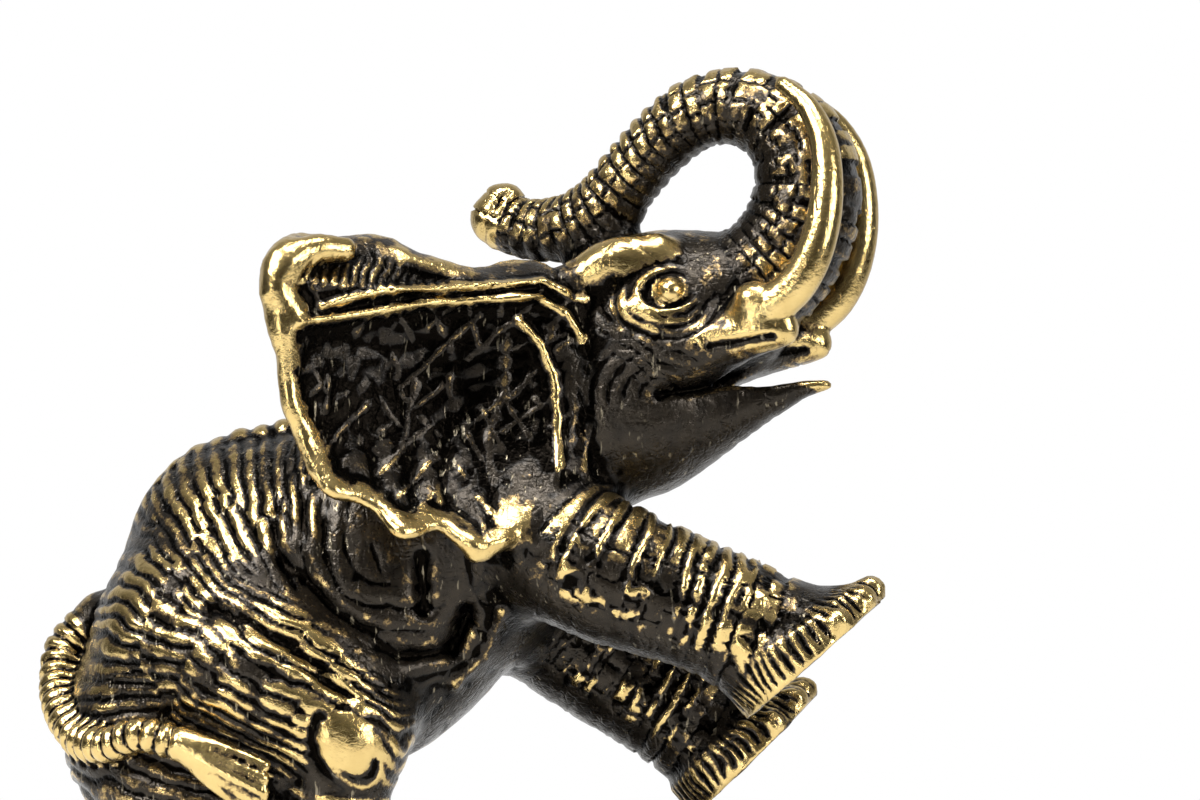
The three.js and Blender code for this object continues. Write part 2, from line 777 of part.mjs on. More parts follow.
// ---------- thinning the surface ----------
// Edges are folded away, cheapest first by their quadric error, while the surface stays closed and unfolded.
const thin = ({ positions, faces }, target) => {
  const pos = Float64Array.from(positions);
  const count = pos.length / 3;
  const tris = [];
  for (let i = 0; i < faces.length; i += 3) tris.push([faces[i], faces[i + 1], faces[i + 2]]);
  const around = Array.from({ length: count }, () => new Set());
  const quadric = new Float64Array(count * 10);
  const version = new Int32Array(count);
  const p = (i) => [pos[3 * i], pos[3 * i + 1], pos[3 * i + 2]];
  const cross = (a, b, c) => {
    const u = [b[0] - a[0], b[1] - a[1], b[2] - a[2]];
    const w = [c[0] - a[0], c[1] - a[1], c[2] - a[2]];
    return [u[1] * w[2] - u[2] * w[1], u[2] * w[0] - u[0] * w[2], u[0] * w[1] - u[1] * w[0]];
  };
  tris.forEach((t, f) => {
    const [a, b, c] = t.map(p);
    const n = cross(a, b, c);
    const area = Math.hypot(...n) || 1e-12;
    const [nx, ny, nz] = n.map((m) => m / area);
    const d = -(nx * a[0] + ny * a[1] + nz * a[2]);
    const q = [nx * nx, nx * ny, nx * nz, nx * d, ny * ny, ny * nz, ny * d, nz * nz, nz * d, d * d];
    const worth = a[0] > 0 && a[2] > 48 ? FACE_CARE : 1;
    for (const v of t) {
      around[v].add(f);
      for (let m = 0; m < 10; m++) quadric[v * 10 + m] += q[m] * area * worth;
    }
  });
  const cost = (a, b, [x, y, z]) => {
    const q = (m) => quadric[a * 10 + m] + quadric[b * 10 + m];
    return (
      q(0) * x * x + 2 * q(1) * x * y + 2 * q(2) * x * z + 2 * q(3) * x +
      q(4) * y * y + 2 * q(5) * y * z + 2 * q(6) * y +
      q(7) * z * z + 2 * q(8) * z + q(9)
    );
  };
  const bestPlace = (a, b) => {
    const pa = p(a);
    const pb = p(b);
    const middle = pa.map((c, m) => (c + pb[m]) / 2);
    const q = (m) => quadric[a * 10 + m] + quadric[b * 10 + m];
    const m = new THREE.Matrix3().set(q(0), q(1), q(2), q(1), q(4), q(5), q(2), q(5), q(7));
    const places = [pa, pb, middle];
    const size = q(0) + q(4) + q(7);
    if (Math.abs(m.determinant()) > 1e-3 * size ** 3) {
      const s = new THREE.Vector3(-q(3), -q(6), -q(8)).applyMatrix3(m.invert()).toArray();
      if (Math.hypot(...s.map((c, k) => c - middle[k])) < 2 * GRID) places.push(s);
    }
    const costs = places.map((at) => cost(a, b, at));
    const k = costs.indexOf(Math.min(...costs));
    const edge = Math.hypot(...pa.map((c, n) => c - pb[n]));
    return { at: places[k], cost: costs[k] + 1e-3 * edge * edge };
  };
  const heap = [];
  const swap = (i, j) => {
    [heap[i], heap[j]] = [heap[j], heap[i]];
  };
  const push = (item) => {
    heap.push(item);
    let i = heap.length - 1;
    while (i && heap[(i - 1) >> 1].cost > heap[i].cost) {
      swap(i, (i - 1) >> 1);
      i = (i - 1) >> 1;
    }
  };
  const pop = () => {
    swap(0, heap.length - 1);
    const item = heap.pop();
    for (let i = 0; ; ) {
      let low = i;
      for (const child of [2 * i + 1, 2 * i + 2])
        if (child < heap.length && heap[child].cost < heap[low].cost) low = child;
      if (low === i) return item;
      swap(i, low);
      i = low;
    }
  };
  const offer = (a, b) =>
    push({ a, b, ...bestPlace(a, b), stamp: version[a] + version[b] });
  const neighbours = (v) => {
    const found = new Set();
    for (const f of around[v]) for (const n of tris[f]) if (n !== v) found.add(n);
    return found;
  };
  const flips = (v, other, at) => {
    for (const f of around[v]) {
      const t = tris[f];
      if (t.includes(other)) continue;
      const before = cross(...t.map(p));
      const after = cross(...t.map((n) => (n === v ? at : p(n))));
      const dot = before[0] * after[0] + before[1] * after[1] + before[2] * after[2];
      const size = Math.hypot(...before) * Math.hypot(...after);
      if (dot < 0.3 * size || Math.hypot(...after) < 1e-3) return true;
    }
    return false;
  };
  for (let v = 0; v < count; v++) for (const n of neighbours(v)) if (n > v) offer(v, n);
  let left = tris.length;
  while (left > target && heap.length) {
    const { a, b, at, stamp } = pop();
    if (!around[a].size || !around[b].size || stamp !== version[a] + version[b]) continue;
    const na = neighbours(a);
    if (!na.has(b)) continue;
    const shared = [...neighbours(b)].filter((n) => na.has(n));
    if (shared.length !== 2 || flips(a, b, at) || flips(b, a, at)) continue;
    [pos[3 * a], pos[3 * a + 1], pos[3 * a + 2]] = at;
    for (let m = 0; m < 10; m++) quadric[a * 10 + m] += quadric[b * 10 + m];
    for (const f of [...around[b]]) {
      if (tris[f].includes(a)) {
        for (const n of tris[f]) around[n].delete(f);
        tris[f] = null;
        left--;
      } else {
        tris[f] = tris[f].map((n) => (n === b ? a : n));
        around[a].add(f);
      }
    }
    around[b].clear();
    version[a]++;
    version[b]++;
    for (const n of neighbours(a)) offer(a, n);
  }
  return { positions: [...pos], faces: tris.filter(Boolean).flat() };
};

// ---------- building the solid ----------
const wasm = await Module();
wasm.setup();

const geometryOf = (positions, faces) =>
  new THREE.BufferGeometry()
    .setAttribute("position", new THREE.Float32BufferAttribute(positions, 3))
    .setIndex(faces);

const solidOf = (geometry) => {
  const bare = geometry.clone();
  bare.deleteAttribute("normal");
  bare.deleteAttribute("uv");
  const merged = mergeVertices(bare, 1e-4);
  return new wasm.Manifold(
    new wasm.Mesh({
      numProp: 3,
      vertProperties: merged.attributes.position.array,
      triVerts: new Uint32Array(merged.index.array),
    }),
  );
};

const geometryFrom = (solid) => {
  const mesh = solid.getMesh();
  const geometry = geometryOf(mesh.vertProperties, [...mesh.triVerts]);
  geometry.computeVertexNormals();
  return geometry;
};

// Slides each corner down the field's slope until it lies on the surface.
const settle = (field, { positions, faces }) => {
  const tiny = 0.05;
  const out = [...positions];
  for (const i of new Set(faces)) {
    const [x, y, z] = positions.slice(3 * i, 3 * i + 3);
    const d = field(x, y, z);
    const slope = [
      (field(x + tiny, y, z) - field(x - tiny, y, z)) / (2 * tiny),
      (field(x, y + tiny, z) - field(x, y - tiny, z)) / (2 * tiny),
      (field(x, y, z + tiny) - field(x, y, z - tiny)) / (2 * tiny),
    ];
    const steep = slope[0] ** 2 + slope[1] ** 2 + slope[2] ** 2;
    if (steep < 0.2) continue;
    const step = THREE.MathUtils.clamp(-d / steep, -GRID / 4, GRID / 4);
    for (let m = 0; m < 3; m++) out[3 * i + m] += slope[m] * step;
  }
  return { positions: out, faces };
};

const castFigure = () => {
  const room = new THREE.Box3(v3([-28, -27, -3]), v3([52, 29, 83]));
  const field = elephantField();
  const traced = settle(field, trace(field, room, GRID));
  const { positions, faces } = settle(field, thin(traced, TRIANGLES));
  const rough = solidOf(geometryOf(positions, faces));
  // the underside, filed flat
  const below = new THREE.BoxGeometry(120, 120, 20).translate(0, 0, -10);
  return geometryFrom(rough.subtract(solidOf(below)));
};

const elephant = new THREE.Mesh(castFigure(), new THREE.MeshStandardMaterial(BRONZE));
elephant.name = "elephant";

const sculpture = new THREE.Group();
sculpture.add(elephant);

export default sculpture;
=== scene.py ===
"""A small cast bronze elephant, rearing on its hind legs on a low oval ground, trunk curled over its head.

The figure is one casting, so it is one piece. Its form is a field: a function of a point that is negative
inside the bronze, made of balls, limbs and ear sheets melted together as a modeller joins wax. The surface
is traced from the field on a fine grid, then wrinkled, and each corner of the mesh carries how worn and how
hollow it is, which the patina follows. Sizes are in millimetres up to the mesh, which is in metres.
"""

import math
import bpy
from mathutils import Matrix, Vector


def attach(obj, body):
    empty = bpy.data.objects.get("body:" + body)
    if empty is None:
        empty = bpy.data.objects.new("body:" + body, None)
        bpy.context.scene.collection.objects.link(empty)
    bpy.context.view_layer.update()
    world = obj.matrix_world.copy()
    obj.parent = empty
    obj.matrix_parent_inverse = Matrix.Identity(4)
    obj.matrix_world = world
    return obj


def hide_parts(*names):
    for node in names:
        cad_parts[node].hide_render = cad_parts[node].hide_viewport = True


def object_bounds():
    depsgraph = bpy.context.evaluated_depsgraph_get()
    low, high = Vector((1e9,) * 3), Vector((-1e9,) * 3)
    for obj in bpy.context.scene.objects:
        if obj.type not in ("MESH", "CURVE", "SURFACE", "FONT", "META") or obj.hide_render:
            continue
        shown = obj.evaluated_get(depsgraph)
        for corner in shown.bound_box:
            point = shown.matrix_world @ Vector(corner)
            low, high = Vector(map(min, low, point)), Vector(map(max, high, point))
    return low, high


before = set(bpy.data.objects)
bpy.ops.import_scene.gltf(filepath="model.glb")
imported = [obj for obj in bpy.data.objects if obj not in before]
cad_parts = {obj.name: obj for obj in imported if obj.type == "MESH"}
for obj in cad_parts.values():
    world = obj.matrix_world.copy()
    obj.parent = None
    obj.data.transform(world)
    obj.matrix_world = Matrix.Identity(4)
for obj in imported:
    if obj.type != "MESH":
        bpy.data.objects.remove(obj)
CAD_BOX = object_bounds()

from concurrent.futures import ThreadPoolExecutor

import bpy
import numpy as np
import openvdb
from mathutils import Matrix, Vector

# ---------- driving sizes, in mm, as in the part's source ----------
MM = 0.001
BASE = {"length": 44, "width": 32, "height": 4, "edge": 1.2}
FLANK = 0.85  # width of the torso over its depth
FORELEG_Y = 9
HINDLEG_Y = 9
SOLE = {"length": 15, "width": 12.6, "thickness": 2.2}
NAIL = {"radius": 1.25, "inset": 0.5, "above": 1.1, "blend": 0.4}  # on a raised foot
HEAD = {"pivot": (20.9, 0, 54.4), "yaw": -12, "roll": 5}
EAR_THICKNESS = 1.7
RING_PITCH = {"trunk": 1.3, "leg": 1.36, "tail": 1.25, "spine": 1.9}
FAR = 8.0  # a distance that no blend reaches
BEYOND = 1e3  # a distance over any in the figure
MELT_ROOM = 2.2  # how far past a shape and its blend the field is still worked out

# ---------- how finely it is traced ----------
GRID_LOW, GRID_HIGH = (-27.0, -25.0, -2.0), (50.0, 31.0, 83.0)
STEP = 0.26  # spacing of the fine grid
BLOCK = 4  # fine steps to a side of a coarse block
HALF_DIAGONAL = 0.87  # of a block, over its side
TRIANGLES = 196_000
THREADS = 4


# ---------- small helpers ----------
def smooth(low, high, value):
    t = np.clip((value - low) / (high - low), 0, 1)
    return t * t * (3 - 2 * t)


def bump(distance, width):
    return np.exp(-((distance / width) ** 2))


def melt(a, b, k):
    h = np.maximum(k - np.abs(a - b), 0) / k
    return np.minimum(a, b) - h * h * k / 4


def hashed(cell, seed):
    """A number from 0 to 1 for each lattice cell, the same on every run."""
    mix = (cell[:, 0] * 73856093) ^ (cell[:, 1] * 19349663) ^ (cell[:, 2] * 83492791) ^ (seed * 2654435)
    mix = (mix ^ (mix >> 13)) * 1274126177
    return ((mix ^ (mix >> 16)) & 65535) / 65535.0


def noise(points, size, seed=0):
    """Smooth noise from -1 to 1 whose blobs are about `size` across."""
    scaled = points / size
    cell = np.floor(scaled).astype(np.int64)
    t = scaled - cell
    t = t * t * (3 - 2 * t)
    total = np.zeros(len(points))
    for corner in np.ndindex(2, 2, 2):
        weight = np.ones(len(points))
        for axis in range(3):
            weight = weight * (t[:, axis] if corner[axis] else 1 - t[:, axis])
        total += weight * hashed(cell + np.array(corner), seed)
    return 2 * total - 1


def rough(points, size, seed=0):
    """Noise of three sizes, each on a lattice turned from the last, so that no lattice shows."""
    total = np.zeros(len(points))
    for octave, share in enumerate((0.55, 0.3, 0.15)):
        points = points @ OCTAVE_TURN
        total += share * noise(points, size / 2**octave, seed + 7 * octave)
    return 1.6 * total


def threaded(function, points, pieces=12):
    """function(points) on a few threads. It sees the points sorted by x, a stretch of them at a time."""
    order = np.argsort(points[:, 0], kind="stable")
    parts = [points[part] for part in np.array_split(order, pieces)]
    with ThreadPoolExecutor(THREADS) as pool:
        found = list(pool.map(function, parts))
    columns = zip(*found) if isinstance(found[0], tuple) else [found]
    results = []
    for column in columns:
        joined = np.concatenate(column)
        back = np.empty_like(joined)
        back[order] = joined
        results.append(back)
    return results


def line_distance(points, a, b):
    """Distance in a plane from (a, b) to an open line of points."""
    best = np.full(len(a), BEYOND)
    for (x0, y0), (x1, y1) in zip(points, points[1:]):
        dx, dy = x1 - x0, y1 - y0
        t = np.clip(((a - x0) * dx + (b - y0) * dy) / (dx * dx + dy * dy), 0, 1)
        best = np.minimum(best, np.hypot(a - x0 - dx * t, b - y0 - dy * t))
    return best


def spline(stations, steps, closed=False):
    """A Catmull-Rom curve through the stations, all columns alike, with even steps in each span."""
    s = np.array(stations, float)
    if closed:
        s = np.vstack([s[-1], s, s[0], s[1]])
    else:
        s = np.vstack([2 * s[0] - s[1], s, 2 * s[-1] - s[-2]])
    out = []
    for p0, p1, p2, p3 in zip(s, s[1:], s[2:], s[3:]):
        for t in np.arange(steps) / steps:
            a = 2 * p1 + (p2 - p0) * t + (2 * p0 - 5 * p1 + 4 * p2 - p3) * t * t
            out.append((a + (3 * p1 - p0 - 3 * p2 + p3) * t**3) / 2)
    if not closed:
        out.append(s[-2])
    return np.array(out)


# ---------- shapes ----------
class Ball:
    def __init__(self, centre, radii, blend):
        self.centre = np.array(centre, float)
        self.radii = np.ones(3) * radii
        self.blend = blend
        self.reach = self.radii.max()

    def distance(self, p):
        q = (p - self.centre) / self.radii
        k0 = np.linalg.norm(q, axis=1)
        k1 = np.linalg.norm(q / self.radii, axis=1)
        return np.where(k0 < 1e-9, -self.radii.min(), k0 * (k0 - 1) / np.maximum(k1, 1e-9))


class Limb:
    """A round limb along a smooth curve through stations (x, y, z, radius)."""

    def __init__(self, stations, blend, squash=1.0, steps=4):
        nodes = spline(stations, steps)
        nodes[:, 1] /= squash
        self.nodes, self.squash, self.blend = nodes, squash, blend
        self.gaps = np.diff(nodes[:, :3], axis=0)
        self.lengths = np.linalg.norm(self.gaps, axis=1)
        self.along = np.concatenate([[0], np.cumsum(self.lengths)])
        low, high = nodes[:, :3].min(0), nodes[:, :3].max(0)
        self.centre = (low + high) / 2 * (1, squash, 1)
        self.reach = np.linalg.norm(high - low) / 2 + nodes[:, 3].max()

    def spans(self, p):
        """For each span: its number, the share along it, the vector from it, and the distance."""
        q = p / (1, self.squash, 1)
        for i, gap in enumerate(self.gaps):
            rel = q - self.nodes[i, :3]
            share = np.clip(rel @ gap / (gap @ gap), 0, 1)
            out = rel - share[:, None] * gap
            radius = self.nodes[i, 3] + (self.nodes[i + 1, 3] - self.nodes[i, 3]) * share
            yield i, share, out, np.linalg.norm(out, axis=1) - radius

    def trace(self, p):
        """Distance to the limb, way along it, vector from its centreline, and its direction there."""
        best = np.full(len(p), BEYOND)
        way = np.zeros(len(p))
        spoke = np.zeros((len(p), 3))
        which = np.zeros(len(p), int)
        for i, share, out, d in self.spans(p):
            near = d < best
            best = np.where(near, d, best)
            way = np.where(near, self.along[i] + share * self.lengths[i], way)
            spoke[near] = out[near]
            which[near] = i
        return best * min(1, self.squash), way, spoke, self.gaps[which] / self.lengths[which, None]

    def distance(self, p):
        best = np.full(len(p), BEYOND)
        for _, _, _, d in self.spans(p):
            best = np.minimum(best, d)
        return best * min(1, self.squash)


class Turned:
    """A shape of the head's own frame, set where the head is."""

    def __init__(self, shape):
        self.shape = shape
        self.blend = shape.blend
        self.reach = shape.reach
        self.centre = HEAD_TURN @ shape.centre + HEAD_PIVOT

    def distance(self, p):
        return self.shape.distance(to_head(p))


def rotation(axis, degrees):
    return np.array(Matrix.Rotation(math.radians(degrees), 3, axis))


HEAD_TURN = rotation("Z", HEAD["yaw"]) @ rotation("X", -HEAD["roll"])
OCTAVE_TURN = rotation("X", 37) @ rotation("Z", 53)
HEAD_PIVOT = np.array(HEAD["pivot"], float)


def to_head(p):
    return (p - HEAD_PIVOT) @ HEAD_TURN


def gather(shapes, p, start=None):
    """The distance from each point to the shapes melted together. Points come sorted by x."""
    value = np.full(len(p), FAR) if start is None else start
    for shape in shapes:
        room = shape.reach + shape.blend + MELT_ROOM
        lo, hi = np.searchsorted(p[:, 0], (shape.centre[0] - room, shape.centre[0] + room))
        part = p[lo:hi]
        near = (np.abs(part[:, 1] - shape.centre[1]) < room) & (np.abs(part[:, 2] - shape.centre[2]) < room)
        pick = lo + np.nonzero(near)[0]
        if len(pick):
            value[pick] = melt(value[pick], shape.distance(p[pick]), shape.blend)
    return value


# ---------- torso, legs and tail ----------
TORSO = Limb(
    [
        (-15.2, 0, 25.6, 7.2), (-5.9, 0, 35.4, 11.1),
        (1.6, 0, 36.0, 14.0), (11.2, 0, 42.8, 12.0),
        (16.4, 0, 49.6, 9.4), (21.0, 0, 54.0, 8.2),
    ],
    3,
    squash=FLANK,
)
HIPS = Ball((-9.0, 0, 40.1), (7.3, 5.5, 7.3), 4)
BELLY = Ball((1.2, 0, 30.8), (10.2, 11.5, 9.8), 4)

BACKBONE = [(-2.5, 49.9), (-8.3, 48.6), (-12.9, 46.3), (-15.0, 42.2), (-17.6, 37.2), (-20.6, 33.2)]


def spine_knobs():
    line = spline([(x, 0, z) for x, z in BACKBONE], 12)
    along = np.concatenate([[0], np.cumsum(np.linalg.norm(np.diff(line, axis=0), axis=1))])
    count = round(along[-1] / RING_PITCH["spine"])
    places = np.linspace(0, along[-1], count + 1)
    knobs = []
    for i, s in enumerate(places):
        x, z = np.interp(s, along, line[:, 0]), np.interp(s, along, line[:, 2])
        size = 0.92 + 0.14 * (i % 2)
        knobs.append(Ball((x + 0.35, 0, z - 0.35), (size, 1.7, size), 0.45))
    return knobs


SPINE_KNOBS = spine_knobs()


class Foreleg:
    """A raised foreleg, with a flared foot cut flat on a tilted sole."""

    def __init__(self, shoulder, elbow, knee, wrist, centre, normal):
        self.sole = np.array(centre, float)
        self.normal = np.array((normal[0], 0, normal[1])) / math.hypot(*normal)
        self.forward = np.array((-self.normal[2], 0, self.normal[0]))
        ankle = self.sole - 2 * self.normal
        self.leg = Limb([shoulder, elbow, knee, wrist, (*ankle, 4.4)], 3)
        self.nails = []
        for turn in (-60, -30, 0, 30, 60):
            a = math.cos(math.radians(turn)) * (SOLE["length"] / 2 - NAIL["inset"])
            b = math.sin(math.radians(turn)) * (SOLE["width"] / 2 - NAIL["inset"])
            place = self.sole + self.forward * a - self.normal * NAIL["above"]
            self.nails.append(Ball(place + (0, b, 0), NAIL["radius"], NAIL["blend"]))
        self.centre = self.leg.centre
        self.reach = self.leg.reach + 4
        self.blend = 4

    def foot(self, p):
        rel = p - self.sole
        a, b, c = rel @ self.forward, rel[:, 1], rel @ self.normal
        flare = 1 - 0.05 * np.maximum(0, -c)
        r = np.hypot(a / (SOLE["length"] / 2), b / (SOLE["width"] / 2))
        return np.maximum((r / flare - 1) * SOLE["width"] / 2, -c - SOLE["thickness"])

    def distance(self, p):
        value = melt(self.leg.distance(p), self.foot(p), 4)
        for nail in self.nails:
            value = melt(value, nail.distance(p), nail.blend)
        return np.maximum(value, (p - self.sole) @ self.normal)


RIGHT_FORELEG = Foreleg(
    (16.8, -6.2, 41.8, 5.8),
    (22.8, -FORELEG_Y, 38.2, 6.0),
    (30.3, -FORELEG_Y, 35.3, 5.4),
    (35.6, -FORELEG_Y, 33.3, 5.2),
    (41.6, -FORELEG_Y, 30.5),
    (0.664, -0.75),
)
LEFT_FORELEG = Foreleg(
    (13.0, 7.4, 37.3, 6.4),
    (20.3, FORELEG_Y, 31.3, 6.0),
    (26.8, FORELEG_Y, 26.8, 5.5),
    (31.2, FORELEG_Y, 23.9, 5.2),
    (35.8, FORELEG_Y, 20.9),
    (0.703, -0.711),
)


class Hindleg:
    def __init__(self, side, back):
        y = side * HINDLEG_Y
        ground = BASE["height"]
        self.thigh = Limb(
            [
                (-11.6, y * 0.6, 31.6, 7.5), (-4.6 - back / 2, y * 0.9, 28.4, 8.0),
                (2.6 - back, y * 1.12, 24.2, 4.8),
            ],
            4,
        )
        self.rump = Limb(
            [(-14.8, y * 0.6, 23.0, 7.0), (-11.6, y * 0.8, 18.5, 6.8), (-6.5, y, 14.0, 5.4)],
            4,
        )
        self.shin = Limb(
            [
                (2.2 - back, y * 1.12, 24.0, 4.5), (1.0 - back, y * 1.1, 17.5, 4.7),
                (-1.5 - back, y, 11.0, 4.8), (-1.2 - back, y, ground + 2.4, 5.6),
            ],
            3,
        )
        self.knee = Ball((3.7 - back, y * 1.2, 24.2), (2.9, 2.8, 2.9), 1.2)
        self.nails = []
        for turn in (-50, -17, 17, 50):
            a = math.radians(turn)
            place = (-1.4 - back + 6.0 * math.cos(a), y + 5.4 * math.sin(a), ground + 0.9)
            self.nails.append(Ball(place, (1.2, 1.3, 1.5), 0.4))

    def shapes(self):
        return [self.thigh, self.rump, self.shin, self.knee, *self.nails]


RIGHT_HINDLEG = Hindleg(-1, 0)
LEFT_HINDLEG = Hindleg(1, 2.5)

TUFT = (-10.2, -15.9, 23.5)
TAIL = Limb(
    [
        (-20.0, 0, 33.4, 1.9), (-22.7, -0.8, 30.4, 1.8),
        (-22.9, -3.0, 27.8, 1.6), (-22.0, -6.2, 25.5, 1.5),
        (-19.8, -9.8, 23.5, 1.45), (-17.0, -13.0, 23.2, 1.4),
        (-13.8, -15.0, 24.2, 1.4), (*TUFT, 1.35),
    ],
    1.0,
)
STRANDS = [
    Limb(
        [
            (*TUFT, 1.2),
            (-7.6, -16.9 + 0.3 * abs(k), 21.9 + k * 0.95, 0.65),
            (-3.4, -17.0 + 0.2 * k * k, 19.7 + k * 1.35, 0.55),
        ],
        0.25,
    )
    for k in (-1.6, -0.8, 0, 0.8, 1.6)
]

# ---------- head, in its own frame ----------
SKULL = [
    Ball((6.2, 0, 3.1), (8.4, 7.6, 8.0), 1),
    Ball((4.6, 0, -3.8), (7.4, 7.4, 6.9), 4),
    Ball((12.0, 0, 3.6), (5.6, 5.6, 5.2), 3),
]
TRUNK = Limb(
    [
        (9.5, 0, 5.2, 6.0), (14.4, 0, 6.6, 5.1),
        (17.7, 0, 9.3, 4.8), (19.5, 0, 12.6, 4.65),
        (19.9, 0, 16.0, 4.4), (18.9, 0, 19.2, 4.0),
        (16.4, 0, 21.4, 3.5), (13.2, 0, 22.3, 3.15),
        (9.8, 0, 21.5, 2.95), (6.8, 0.3, 19.2, 2.8),
        (4.2, 0.7, 16.5, 2.8), (2.0, 1.2, 14.0, 2.9),
        (-0.9, 1.8, 12.5, 2.8), (-4.1, 2.5, 12.2, 2.6),
        (-6.8, 3.0, 12.7, 2.4), (-8.3, 3.2, 13.3, 2.3),
    ],
    3.5,
)
TRUNK_FINGER = Ball((-7.6, 3.2, 15.3), (1.5, 1.6, 1.2), 0.8)
JAW = Limb(
    [
        (4.5, 0, -5.6, 5.0), (10.5, 0, -4.6, 3.5),
        (15.8, 0, -2.7, 2.1), (19.6, 0, -1.5, 1.1),
        (21.8, 0, -1.2, 0.6),
    ],
    2.5,
    squash=1.15,
)
MOUTH = Limb(
    [(11.0, 0, -1.6, 0.8), (15.0, 0, -0.6, 1.5), (20.0, 0, 0.8, 1.8), (25.0, 0, 1.4, 2.2)],
    0.8,
    squash=1.8,
)
LIP_LINE = [(9.3, -2.6), (12.0, -1.9), (15.3, -0.7), (18.7, 0.1), (21.5, -0.2)]
TUSK = [
    (16.8, 6.0, 3.6, 1.8),
    (18.9, 6.5, 4.8, 1.75),
    (21.0, 6.8, 6.6, 1.65),
    (22.5, 6.9, 9.6, 1.55),
    (23.2, 6.7, 13.6, 1.4),
    (22.8, 6.2, 18.0, 1.2),
    (21.2, 5.5, 21.3, 0.95),
    (18.8, 4.7, 23.4, 0.7),
]
EYE = {"centre": (10.1, 6.9, 5.9), "radius": 1.15}


def mirrored(stations, side):
    return [(x, side * y, *rest) for x, y, *rest in stations]


def face(side):
    """The upper lip, the socket that holds the tusk, the brow, and the pouch under the eye."""
    lip = [(9.0, 4.2, 0.6, 3.4), (14.0, 5.0, 2.0, 2.6), (17.4, 5.8, 2.8, 2.2), (19.4, 6.0, 2.8, 1.5)]
    brow = [(0.8, 5.9, 5.8, 1.5), (4.2, 6.1, 8.2, 2.0), (8.4, 5.0, 9.4, 1.5)]
    pouch = [(6.6, 7.1, 4.4, 1.0), (9.2, 7.1, 3.4, 0.9), (12.0, 6.1, 3.9, 0.6)]
    return [
        Limb(mirrored(lip, side), 1.5),
        Ball((17.2, side * 6.7, 5.0), 1.7, 1),
        Limb(mirrored(brow, side), 1.5),
        Limb(mirrored(pouch, side), 0.8),
    ]


FACES = [*face(-1), *face(1)]
TUSKS = [Limb(mirrored(TUSK, side), 0.4) for side in (-1, 1)]
EYES = [Ball(np.array(EYE["centre"]) * (1, side, 1), EYE["radius"], 0.12) for side in (-1, 1)]

# The ear's own frame: u runs back from the root, v up it, w out of its hollow front face.
EAR = {
    "root": (1.2, 7.6, 0),
    "flare": math.atan2(0.6, 0.8),
    "rim": 1.15,
    "hollow": {"u": 12.5, "v": -4.5, "across": 13, "high": 12, "depth": 2.6},
    "fold": {"v": 5.0, "slope": 0.8},  # above this line the sheet rolls back
    "curl": {"v": -5.5, "depth": 3.2},  # below this line it curls forward
}
EAR_OUTLINE = [
    (-2.5, 6.0), (1.0, 8.4), (3.6, 8.5), (7.7, 7.5), (11.3, 8.4), (15.7, 10.0), (19.5, 9.6), (23.4, 9.4),
    (25.9, 7.6), (26.5, 5.2), (25.8, 1.4), (24.9, -1.6), (24.5, -4.4), (22.6, -8.6), (20.9, -12.0),
    (18.3, -12.7), (16.6, -13.6), (15.2, -15.4), (13.6, -15.4), (11.6, -14.7), (10.2, -15.6), (8.6, -17.4),
    (6.2, -16.4), (4.4, -14.4), (2.6, -11.0), (0.2, -9.5), (-2.5, -8.5),
]  # fmt: skip
EAR_RIDGES = [
    [(0.4, 5.6), (2.3, 6.6), (5.8, 6.1), (11.0, 5.4), (16.2, 4.8), (19.2, 4.0), (21.5, 3.2)],
    [(-1.0, 1.9), (0.4, 3.8), (3.1, 5.0), (7.5, 4.6), (12.7, 4.0), (19.6, 2.5), (23.5, 1.8)],
    [(4.3, 3.0), (2.5, 1.2), (1.3, -1.5), (0.9, -5.0), (0.9, -9.5)],
]
EAR_CORNER = [(19.5, 8.1, 1.0), (22.3, 7.9, 1.3), (24.4, 6.4, 1.4), (24.9, 4.4, 1.3), (24.0, 2.8, 1.1)]


